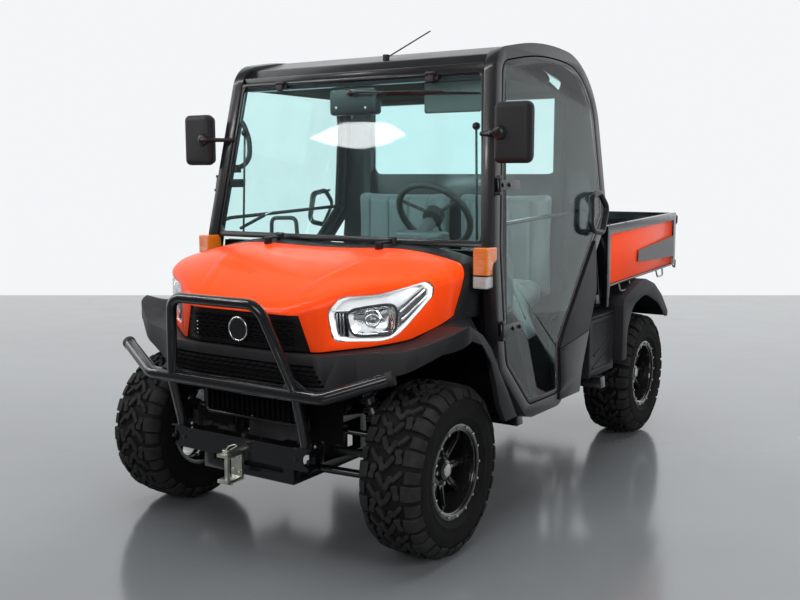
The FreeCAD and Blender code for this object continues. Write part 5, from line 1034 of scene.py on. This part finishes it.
def lamp_edge():
    """The outline of the lens in the lamp's own reach and height, found by feeling for its rim."""
    outline = []
    for index in range(LAMP_EDGE_STEPS):
        angle = math.tau * index / LAMP_EDGE_STEPS
        low, high = LAMP_EDGE_RANGE
        while high - low > LAMP_EDGE_GAP:
            middle = (low + high) / 2
            start = before_lamp(*on_ray(middle, angle))
            low, high = (middle, high) if meets("headlamps", start, -LAMP_OUT) else (low, middle)
        outline.append(on_ray(low, angle))
    return outline


def reflector():
    """Chromed bowl with its black surround, bulb and shade."""
    bowl = [lamp_loop(scaled(REFLECTOR_OUTLINE, share), back) for share, back in (
        (1.0, 0.009), (0.9, 0.013), (0.8, 0.02), (0.62, 0.026), (0.4, 0.03), (0.2, 0.031))]
    shade = [(BULB[0] + 0.03 * math.cos(a), BULB[1] + 0.024 * math.sin(a)) for a in (0.3, 1.5, 2.7, 3.9, 5.1)]
    return made([
        (lofted, lamp_facets, bowl, 20.0),
        (bent_bar, smooth_black, lamp_loop(scaled(REFLECTOR_OUTLINE, 1.03), 0.0085), 0.0052, 0.012, True),
        (round_bar, lamp_smoke, in_lamp(*BULB, 0.03), in_lamp(*BULB, 0.013), 0.011, 0.004),
        (bent_bar, chrome, lamp_loop(shade, 0.018), 0.003, 0.02, True)])


def is_lens(face):
    """Whether a face of the lamp block looks outwards."""
    out = Vector((math.copysign(LAMP_OUT.x, face.center.x), LAMP_OUT.y, 0.0))
    return face.normal.dot(out) > 0.3


def headlamps():
    """Clear lens, bright housing, reflector, smoked ribs with painted shade behind them, and slanted marker
    bars.
    """
    solid = named(dressed("headlamps", lamp_silver, 0.0), "lamp_housing")
    lens = copied(solid, "lamp_lens")
    without_faces(solid, is_lens)
    without_faces(lens, lambda face: not is_lens(face))
    modified(lens, "SOLIDIFY", thickness=0.0022, offset=-1.0)
    smooth(painted(lens, lamp_clear), 30.0)
    edit(solid)
    bpy.ops.mesh.flip_normals()
    close()
    edge = lamp_edge()
    border = painted(lofted([lamp_loop(scaled(edge, share), back) for share, back in (
        (0.985, 0.003), (0.955, 0.005), (0.9, 0.008), (0.87, 0.016))]), lamp_silver)
    without_faces(border, lambda face: len(face.vertices) > 4, "ONLY_FACE")
    rows = [(round_bar, lamp_smoke, in_lamp(reach, 0.816, 0.014), in_lamp(reach - 0.004, 0.898, 0.014), 0.0038,
             0.001, 12) for reach in (0.149, 0.160, 0.171, 0.182)]
    shelf = [in_lamp(*place) for place in ((0.132, 0.905, 0.008), (0.2, 0.907, 0.008), (0.21, 0.912, 0.012))]
    # A thin dull black sheet at the back of the recess behind the smoked ribs: painted shade.
    shaded_recess = ((0.142, 0.81), (0.198, 0.81), (0.19, 0.9), (0.134, 0.9))
    rows += [(bent_bar, chrome, shelf, 0.0035, 0.01),
             (lofted, dull_black, [lamp_loop(shaded_recess, 0.024), lamp_loop(shaded_recess, 0.0245)]),
             (lofted, lamp_smoke, [lamp_loop(MARKER_OUTLINE, 0.02), lamp_loop(MARKER_OUTLINE, 0.0205)])]
    rows += [(round_bar, chrome, in_lamp(*low, 0.011), in_lamp(*high, 0.011), 0.0042, 0.002, 16)
             for low, high in MARKER_BARS]
    inside = joined(reflector() + [border] + made(rows), "lamp_inside")
    piece = joined([lens, solid, inside, mirrored(inside, "lamp_inside_right")], "headlamps_finished")
    carried(piece, carriers["headlamps"], "lamp_lens", "headlamps")


REAR_LAMP_TOP = 0.8
AMBER_FOOT = 1.010
CLEAR_TOP = 1.004


def signal_lamps():
    """Turn signals, amber over clear, and red lamps on the rear bar."""
    piece = dressed("signal_lamps", amber_lens, 0.002)
    for material in (white_lens, red_lens, smooth_black):
        piece.data.materials.append(material)
    for height in (AMBER_FOOT, CLEAR_TOP):
        parted(piece, (0.0, 0.0, height), (0.0, 0.0, 1.0))
    for face in piece.data.polygons:
        z = face.center.z
        if z < REAR_LAMP_TOP:
            face.material_index = 2
        elif z < CLEAR_TOP:
            face.material_index = 1
        elif z < AMBER_FOOT:
            face.material_index = 3
    carried(piece, carriers["signal_lamps"], "amber_lens", "signal_lamps")


# ---------------------------------------------------------------- front: guard, clevis and radiator


def front_guard_trim():
    """Gussets at the hoop's feet, rubber ends on the wide bar and foot plates with bolts."""
    for name, side in SIDES.items():
        outer, inner = [[ahead(x * side, y, z) for x, y, z in outline] for outline in (
            ((0.292, -0.385, 0.648), (0.352, -0.383, 0.640), (0.352, -0.383, 0.650), (0.281, -0.399, 0.700),
             (0.277, -0.402, 0.698)),
            ((0.289, -0.385, 0.648), (0.246, -0.383, 0.641), (0.246, -0.383, 0.650), (0.276, -0.396, 0.682)))]
        out = Vector((0.23 * side, 0.094, 0.082)).normalized()
        tip = ahead(0.640 * side, -0.284, 0.706)
        foot = 0.300 * side
        rows = [(outline_piece, frame_black, outer, 0.005, 0.001),
                (outline_piece, frame_black, inner, 0.005, 0.001),
                (round_bar, rubber_black, tip - out * 0.02, tip + out * 0.003, 0.0262, 0.002, 32),
                (block, frame_black, ahead(foot - 0.038, -0.352, 0.4205), ahead(foot + 0.038, -0.296, 0.4265),
                 0.0015)]
        for shift in (-0.028, 0.028):
            rows += [(bolt_head, zinc_plate, ahead(foot + shift, -0.31, 0.4265), (0, 0, 1), 0.006, 0.006),
                     (bolt_head, smooth_black, ahead(foot + shift, -0.3505, 0.382), (0, -1, 0), 0.0065, 0.006)]
        handed(made(rows), "guard_trim_" + name, "front_guard", "frame_paint")


def clevis_trim():
    """Pin head, washer and spring clip of the front clevis, and the wire of its keeper."""
    top = ahead(0.0, -0.412, 0.382)
    low = ahead(0.0, -0.412, 0.2605)
    keeper = [top + Vector(step) for step in (
        (0.0, -0.002, 0.008), (0.012, -0.004, 0.022), (0.04, -0.002, 0.034), (0.05, 0.004, 0.03),
        (0.014, 0.004, 0.008))]
    clip = [low + Vector(step) for step in (
        (-0.02, -0.001, 0.0), (0.02, -0.001, 0.0), (0.028, -0.001, 0.006), (0.02, -0.001, 0.012),
        (0.0, -0.0105, 0.004), (-0.016, -0.0105, 0.004))]
    rows = [(round_bar, zinc_plate, top, top + Vector((0.0, 0.0, 0.009)), 0.0155, 0.002),
            (round_bar, zinc_plate, ahead(0.0, -0.412, 0.376), ahead(0.0, -0.412, 0.379), 0.019, 0.0008),
            (bent_bar, zinc_plate, keeper, 0.0022, 0.008), (bent_bar, zinc_plate, clip, 0.0018, 0.005)]
    rows += [(bolt_head, zinc_plate, ahead(x, -0.362, z), (0, -1, 0), 0.006, 0.006)
             for z in (0.30, 0.346) for x in (-0.016, 0.016)]
    handed(made(rows), "clevis_trim", "hitches", "bare_metal")


FINS = 19
FIN_START = -0.225
FIN_PITCH = 0.025


def radiator_screen():
    """Finned screen with its core between the guard's uprights, dark shields beside it and an apron below."""
    corners = [ahead(x, -0.262, z) for x, z in (
        (-0.235, 0.475), (0.235, 0.475), (0.235, 0.618), (-0.235, 0.618))]
    rows = [(bent_bar, frame_black, corners, 0.007, 0.02, True)]
    for index in range(FINS):
        x = FIN_START + index * FIN_PITCH
        rows.append((block, dull_black, ahead(x - 0.0008, -0.264, 0.475), ahead(x + 0.0008, -0.252, 0.618),
                     0.0003, 1))
    rows.append((block, dull_black, ahead(-0.232, -0.250, 0.478), ahead(0.232, -0.240, 0.615)))
    for low, high in ((0.190, 0.345), (-0.345, -0.190)):
        rows.append((block, dull_black, ahead(low, -0.168, 0.40), ahead(high, -0.164, 0.655), 0.001, 1))
    rows.append((block, dull_black, (-0.300, -0.664, 0.298), (0.300, -0.660, 0.446), 0.001, 1))
    handed(made(rows), "radiator_screen", "chassis_frame", "frame_paint")


# ---------------------------------------------------------------- cab


def on_screen(x, up, out):
    """A place on the leaning windscreen: across, up its slope and out from its face."""
    rise = Vector((0.0, math.sin(SCREEN_RAKE), math.cos(SCREEN_RAKE)))
    away = Vector((0.0, -math.cos(SCREEN_RAKE), math.sin(SCREEN_RAKE)))
    return SCREEN_FOOT + Vector((x, 0.0, 0.0)) + rise * up + away * out


def wiper():
    """Arm, blade and pivot parked along the top of the windscreen, with the motor's cover inside."""
    arm, carrier = [[on_screen(*place) for place in route] for route in (
        ((-0.013, 0.593, 0.02), (0.07, 0.590, 0.026), (0.30, 0.583, 0.024), (0.44, 0.576, 0.017)),
        ((0.16, 0.582, 0.0105), (0.30, 0.580, 0.0155), (0.44, 0.575, 0.0165), (0.60, 0.566, 0.0105)))]
    rows = [(round_bar, smooth_black, on_screen(-0.013, 0.593, 0.0), on_screen(-0.013, 0.593, 0.022), 0.013,
             0.003),
            (bent_bar, frame_black, arm, 0.0048, 0.04), (bent_bar, frame_black, carrier, 0.0036, 0.05),
            (round_bar, rubber_black, on_screen(0.15, 0.581, 0.0068), on_screen(0.605, 0.565, 0.0068), 0.0026,
             0.0005, 8),
            (block, smooth_black, (-0.14, -0.5855, 1.628), (0.10, -0.53, 1.742), 0.016, 4)]
    rows += [(bolt_head, bolt_bright, (x, -0.5855, z), (0, -1, 0), 0.0045, 0.003)
             for x, z in ((-0.1, 1.66), (0.05, 1.655))]
    handed(made(rows), "wiper", "windscreen_frame")


def screen_clips():
    """Two lift hinges and the rivets along the top of the windscreen."""
    parts = []
    for x in (-0.384, 0.379):
        clip = joined(made([
            (block, moulded_black, (-0.030, -0.006, -0.016), (0.030, 0.004, 0.016), 0.003),
            (round_bar, smooth_black, (-0.024, -0.012, 0.010), (0.024, -0.012, 0.010), 0.0085, 0.002),
            (block, moulded_black, (-0.013, -0.016, -0.024), (0.013, -0.004, 0.008), 0.003)]), "clip")
        parts.append(placed(clip, on_screen(x, 0.642, 0.006), (-SCREEN_RAKE, 0.0, 0.0)))
    for x, z in ((-0.508, 1.797), (-0.478, 1.797), (0.494, 1.789), (0.524, 1.789)):
        y = front_of("roof", x, z)
        if y is not None:
            parts += made([(bolt_head, smooth_black, (x, y, z), (0, -1, 0.2), 0.0052, 0.003)])
    handed(parts, "screen_clips", "windscreen_frame")


def knob(place):
    """Round knob that looks inwards from a rod's top."""
    profile = ((0.0, 0.0005), (0.001, 0.006), (0.005, 0.0115), (0.012, 0.0155), (0.020, 0.0155), (0.027, 0.011),
               (0.031, 0.0005))
    return placed(spun(profile, 32, 60.0), place, (0.0, math.radians(-90.0), 0.0))


def cab_fittings():
    """Visor, grab handle, rods with knobs, and the dashboard's rail, vent, switches and gauges."""
    handle = [(x, -0.60, z) for x, z in ((-0.655, 1.632), (-0.612, 1.612), (-0.574, 1.534), (-0.5755, 1.456),
                                         (-0.612, 1.418), (-0.668, 1.408))]
    rail = ((-0.476, -0.575, 1.085), (-0.470, -0.580, 1.186), (-0.330, -0.580, 1.190), (-0.3265, -0.575, 1.085))
    rows = [(block, liner_grey, (0.262, -0.470, 1.630), (0.530, -0.448, 1.772), 0.01, 4),
            (bent_bar, rubber_black, handle, 0.0115, 0.035)]
    rows += [(block, smooth_black, (-0.672, -0.618, z - 0.018), (-0.642, -0.582, z + 0.018), 0.004)
             for z in (1.634, 1.406)]
    for side in SIDES.values():
        rows += [(round_bar, frame_black, (0.600 * side, -0.624, 1.116), (0.588 * side, -0.616, 1.556), 0.0048),
                 (knob, smooth_black, (0.588 * side, -0.616, 1.549))]
    rows += [(bent_bar, rubber_black, rail, 0.009),
             (round_bar, frame_black, (-0.640, -0.600, 1.135), (-0.493, -0.600, 1.199), 0.0075),
             (round_bar, chrome, (-0.493, -0.600, 1.199), (-0.46, -0.596, 1.2135), 0.004),
             (block, cabin_grey, (0.190, -0.585, 1.085), (0.415, -0.500, 1.150), 0.02, 4)]
    for x, radius in ((0.245, 0.026), (0.305, 0.034), (0.365, 0.026)):
        rows += [(round_bar, smooth_black, (x, -0.502, 1.118), (x, -0.4975, 1.118), radius * 0.85, 0.001, 40),
                 (round_bar, chrome, (x, -0.5005, 1.118), (x, -0.4985, 1.118), radius * 0.92, 0.0008, 40)]
    rows += [(block, smooth_black, (x - 0.016, -0.4785, 1.03), (x + 0.016, -0.468, 1.056), 0.003)
             for x in [-0.16 + index * 0.05 for index in range(5)]]
    rows.append((block, smooth_black, (-0.40, -0.486, 1.005), (-0.24, -0.470, 1.055), 0.008))
    rows += [(block, cabin_grey, (-0.39, -0.472, z), (-0.25, -0.464, z + 0.002), 0.0006)
             for z in [1.013 + index * 0.0085 for index in range(5)]]
    handed(made(rows), "cab_fittings", "dashboard")


def door_trim():
    """Inner bar and hinge bolts of each door."""
    for name, side in SIDES.items():
        node = "door_frame_" + name
        bar = [(x * side, y, z) for x, y, z in (
            (0.690, -0.662, 1.172), (0.668, -0.640, 1.184), (0.664, 0.230, 1.216), (0.684, 0.262, 1.219))]
        rows = [(bent_bar, frame_black, bar, 0.0085, 0.02)]
        for z in (1.341, 0.796):
            for back in (0.372, 0.425):
                place = meets(node, ahead(1.2 * side, back, z), Vector((-side, 0.0, 0.0)))
                if place and abs(place.x) > 0.6:
                    rows.append((bolt_head, frame_black, place, (side, 0, 0.05), 0.0075, 0.0055))
        handed(made(rows), "door_trim_" + name, node, "frame_paint")


def socket(place):
    """Round housing of a mirror's ball, its mouth towards the front."""
    profile = ((0.0, 0.0005), (0.012, 0.0005), (0.013, 0.012), (0.010, 0.021), (0.003, 0.027), (-0.004, 0.0285),
               (-0.004, 0.0005))
    return placed(spun(profile, 40, 40.0), place, (0.0, 0.0, math.radians(-90.0)))


def mirror_trim():
    """Silvered faces, their rims, ball sockets and pillar brackets of both mirrors."""
    parts = []
    for side in SIDES.values():
        x = 0.787 * side
        inward = x - 0.045 * side
        rim_bar = [(x + shift, -0.6688, z) for shift, z in (
            (-0.064, 1.434), (0.064, 1.434), (0.064, 1.634), (-0.064, 1.634))]
        arm = ((inward, -0.733, 1.534), (inward - 0.03 * side, -0.736, 1.534), (0.700 * side, -0.716, 1.534),
               (0.668 * side, -0.690, 1.534))
        glass = rounded(block((x - 0.062, -0.6705, 1.436), (x + 0.062, -0.6672, 1.632), 0.0012), 0.001)
        parts.append(painted(glass, mirror_face))
        parts += made([(bent_bar, smooth_black, rim_bar, 0.0036, 0.018, True),
                       (socket, smooth_black, (inward, -0.7265, 1.534)),
                       (bent_bar, smooth_black, arm, 0.0085, 0.02)])
    handed(parts, "mirror_trim", "mirrors")


def roof_lining():
    """Lining under the roof, the seal over the windscreen and the piece that closes the rear edge."""
    handed(made([(block, dull_black, (-0.600, -0.560, 1.752), (0.600, 0.305, 1.758)),
                 (block, smooth_black, (-0.604, -0.590, 1.772), (0.604, -0.574, 1.806), 0.003),
                 (block, smooth_black, (-0.600, 0.270, 1.756), (0.600, 0.318, 1.800), 0.004)]),
           "roof_lining", "roof")


# ---------------------------------------------------------------- sides, bed and springs

CREASE = Vector((0.0, -0.091, 0.682))
CREASE_UP = Vector((0.0, -0.134, 1.0)).normalized()
CREASE_WIDTH = 0.004
CREASE_SLACK = 0.0001


def quarter_panels():
    """Panels behind the doors, matt above and glossier below their crease."""
    piece = dressed("quarter_panels", moulded_black, 0.002)
    piece.data.materials.append(smooth_black)
    piece.data.materials.append(dull_black)
    for shift in (0.0, CREASE_WIDTH):
        parted(piece, CREASE - Vector((0.0, 0.0, shift)), CREASE_UP)
    for face in piece.data.polygons:
        height = (face.center - CREASE).dot(CREASE_UP)
        if height < CREASE_SLACK - CREASE_WIDTH:
            face.material_index = 1
        elif height < 0.0:
            face.material_index = 2
    carried(piece, carriers["quarter_panels"], "black_plastic", "quarter_panels")


def side_boxes():
    """Moulded side boxes with their raised lozenge and lid seam."""
    piece = dressed("side_boxes", moulded_black, 0.003)
    upper, lower = [[(0.737, y, z) for y, z in outline] for outline in (
        ((0.300, 0.694), (0.487, 0.706), (0.466, 0.590), (0.290, 0.540)),
        ((0.268, 0.480), (0.508, 0.556), (0.512, 0.700)))]
    lid = ((0.744, 0.218, 0.716), (0.744, 0.520, 0.716))
    left = joined(made([(bent_bar, moulded_black, upper, 0.0055, 0.02),
                        (bent_bar, moulded_black, lower, 0.0045, 0.02),
                        (bent_bar, dull_black, lid, 0.0028, 0.01)]), "ridges")
    whole = joined([piece, left, mirrored(left, "ridges_right")], "side_boxes_finished")
    carried(whole, carriers["side_boxes"], "black_plastic", "side_boxes")


def bed_trim():
    """Wire hooks, corner loops, the grey field on each side panel and the rivets of the rails."""
    field = ((0.7572, 0.818, 1.000), (0.7572, 1.404, 1.044), (0.7572, 1.412, 0.927), (0.7572, 0.812, 0.941))
    corner = ((0.750, 1.418, 1.150), (0.752, 1.468, 1.152), (0.750, 1.472, 1.108), (0.748, 1.430, 1.100))
    low_loop = ((0.748, 1.430, 0.906), (0.750, 1.470, 0.902), (0.750, 1.466, 0.858), (0.748, 1.436, 0.868))
    rows = [(outline_piece, decal_grey, field, 0.0006, 0.0)]
    for low, high, z in ((0.570, 0.727, 0.848), (1.140, 1.250, 0.868)):
        hook = ((0.744, low, z + 0.012), (0.752, low + 0.010, z - 0.034), (0.752, high - 0.010, z - 0.034),
                (0.744, high, z + 0.012))
        rows.append((bent_bar, zinc_plate, hook, 0.0042, 0.012))
    rows += [(bent_bar, frame_black, corner, 0.0046, 0.014, True),
             (bent_bar, frame_black, low_loop, 0.0042, 0.012, True)]
    rows += [(bolt_head, frame_black, (0.7555, y, 1.148), (1, 0, 0), 0.0045, 0.0022)
             for y in (0.395, 0.62, 0.845, 1.07, 1.295, 1.40)]
    left = joined(made(rows), "bed_trim_left")
    for piece in (left, mirrored(left, "bed_trim_right")):
        carried(piece, carriers["cargo_bed"], "frame_paint")


SPRING_TURNS = 8
TURN_STEPS = 20
SPRING_RADIUS = 0.0345
SPRING_WIRE = 0.0058
SPRING_START = 0.2
SPRING_SPAN = 0.58
SPRING_SEATS = (0.195, 0.79)


def springs():
    """Coil springs over the four shock absorbers, with their seats."""
    for row, axle in AXLES.items():
        for name, side in SIDES.items():
            low = Vector((0.430 * side, axle + 0.042, 0.262))
            line = Vector((0.238 * side, axle + 0.042, 0.712)) - low
            up = line.normalized()
            across = Vector((0.0, 1.0, 0.0))
            other = up.cross(across)
            coil = []
            for step in range(SPRING_TURNS * TURN_STEPS + 1):
                angle = math.tau * step / TURN_STEPS
                share = SPRING_START + SPRING_SPAN * step / (SPRING_TURNS * TURN_STEPS)
                out = across * math.cos(angle) + other * math.sin(angle)
                coil.append(low + line * share + out * SPRING_RADIUS)
            rows = [(bent_bar, spring_paint, coil, SPRING_WIRE, 0.001, False, 2)]
            for share in SPRING_SEATS:
                middle = low + line * share
                rows.append((round_bar, machined, middle - up * 0.006, middle + up * 0.002, 0.042, 0.002, 40))
            handed(made(rows), "spring_%s_%s" % (row, name), "shock_absorbers", "frame_paint")


def tailgate_trim():
    """Pressed ribs, latches and their wire loops on the tailgate."""
    low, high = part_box("tailgate")
    back = high[1]
    rows = [(block, frame_black, (x - 0.11, back - 0.001, 0.93), (x + 0.11, back + 0.005, 1.10), 0.004, 3)
            for x in (-0.48, -0.16, 0.16, 0.48)]
    for side in SIDES.values():
        x = 0.655 * side
        loop = [(0.640 * side, back + out, z) for out, z in (
            (0.008, 1.060), (0.024, 1.066), (0.024, 1.104), (0.008, 1.110))]
        rows += [(block, smooth_black, (x - 0.026, back - 0.001, 1.045), (x + 0.026, back + 0.012, 1.125),
                  0.005, 3),
                 (bent_bar, zinc_plate, loop, 0.004, 0.008)]
    handed(made(rows), "tailgate_trim", "tailgate", "frame_paint")


# ---------------------------------------------------------------- seats

CLOTH_STEPS = 20
CLOTH_QUALITY = 5
CLOTH_MASS = 0.3
CLOTH_STIFFNESS = 12.0
CLOTH_PRESSURE = 4.0
PAD_INSET = 0.012
PAD_EDGE = 0.028
PAD_REACH = 0.024
PAD_VOXEL = 0.010
PAD_SINK = 0.002
PAD_RISE = 0.006
PAD_ROLL = 0.86
FACING_LEAST = 0.25
SEAMS = (0.2, 0.4, 0.6, 0.8)
SEAM_WIDTH = 0.007
SEAM_DEPTH = 0.011
ROLL_SCALE = 0.2
ROLL_WIDTH = 0.006
ROLL_DEPTH = 0.008
CUSHION_CROWN = 0.006
BACK_CROWN = 0.010


def swelled(piece, low, high):
    """Blows the pad up with cloth under pressure, and keeps it near its start and inside its place."""
    rest = [vertex.co.copy() for vertex in piece.data.vertices]
    only(piece)
    cloth = piece.modifiers.new("Cloth", "CLOTH")
    cloth.settings.quality = CLOTH_QUALITY
    cloth.settings.mass = CLOTH_MASS
    cloth.settings.tension_stiffness = CLOTH_STIFFNESS
    cloth.settings.compression_stiffness = CLOTH_STIFFNESS
    cloth.settings.use_pressure = True
    cloth.settings.uniform_pressure_force = CLOTH_PRESSURE
    cloth.settings.effector_weights.gravity = 0.0
    for step in range(1, CLOTH_STEPS + 1):
        bpy.context.scene.frame_set(step)
    bpy.ops.object.modifier_apply(modifier=cloth.name)
    bpy.context.scene.frame_set(1)
    for vertex, start in zip(piece.data.vertices, rest):
        move = vertex.co - start
        if move.length > PAD_REACH:
            move = move.normalized() * PAD_REACH
        place = start + move
        for axis in range(3):
            place[axis] = min(max(place[axis], low[axis] - PAD_SINK), high[axis] + PAD_RISE)
        vertex.co = place
    return piece


def groove(gap, width, depth):
    """Depth of a sewn channel at a distance from its seam."""
    return depth * math.exp(-(gap / width) ** 2)


def seat_pad(node, seams, facing, crown_height):
    """A padded vinyl cushion with sewn channels along it."""
    low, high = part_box(node)
    low = Vector(low)
    high = Vector(high)
    inset = Vector((PAD_INSET, PAD_INSET, PAD_INSET))
    piece = block(low + inset, high - inset, PAD_EDGE, 4)
    piece.data.remesh_voxel_size = PAD_VOXEL
    only(piece)
    bpy.ops.object.voxel_remesh()
    swelled(piece, low, high)
    modified(piece, "SUBSURF", levels=1, render_levels=1)
    middle = (low + high) / 2
    half = (high - low) / 2
    along = 1 if facing.z > 0.5 else 2
    for vertex in piece.data.vertices:
        place = vertex.co
        front = vertex.normal.dot(facing)
        if front < FACING_LEAST:
            continue
        sink = sum(groove(place.x - seam, SEAM_WIDTH, SEAM_DEPTH) for seam in seams)
        run = (place[along] - middle[along]) / half[along]
        side = (place.x - middle.x) / half.x
        edge_fade = max(0.0, 1.0 - abs(side) ** 8)
        fade = max(0.0, 1.0 - abs(run) ** 6) * edge_fade
        sink = sink * fade + groove((abs(run) - PAD_ROLL) * ROLL_SCALE, ROLL_WIDTH, ROLL_DEPTH) * edge_fade
        lift = crown_height * (1.0 - side * side) * (1.0 - run * run)
        vertex.co = place - facing * (sink - lift) * front
    named(painted(smooth(piece, 60.0), seat_vinyl), node + "_finished")
    carried(piece, carriers[node], "seat_vinyl", node)


def seats():
    """Two seats, each a cushion and a back with four sewn channels."""
    for name in SIDES:
        low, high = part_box("seat_cushion_" + name)
        width = high[0] - low[0]
        seams = [low[0] + width * share for share in SEAMS]
        seat_pad("seat_cushion_" + name, seams, Vector((0.0, 0.0, 1.0)), CUSHION_CROWN)
        seat_pad("seat_back_" + name, seams, Vector((0.0, -1.0, 0.0)), BACK_CROWN)


seats()
roof_lining()
grille()
intake()
headlamps()
signal_lamps()
front_guard_trim()
clevis_trim()
radiator_screen()
wiper()
screen_clips()
cab_fittings()
door_trim()
mirror_trim()
quarter_panels()
side_boxes()
bed_trim()
springs()
tailgate_trim()
wheels()
studio()
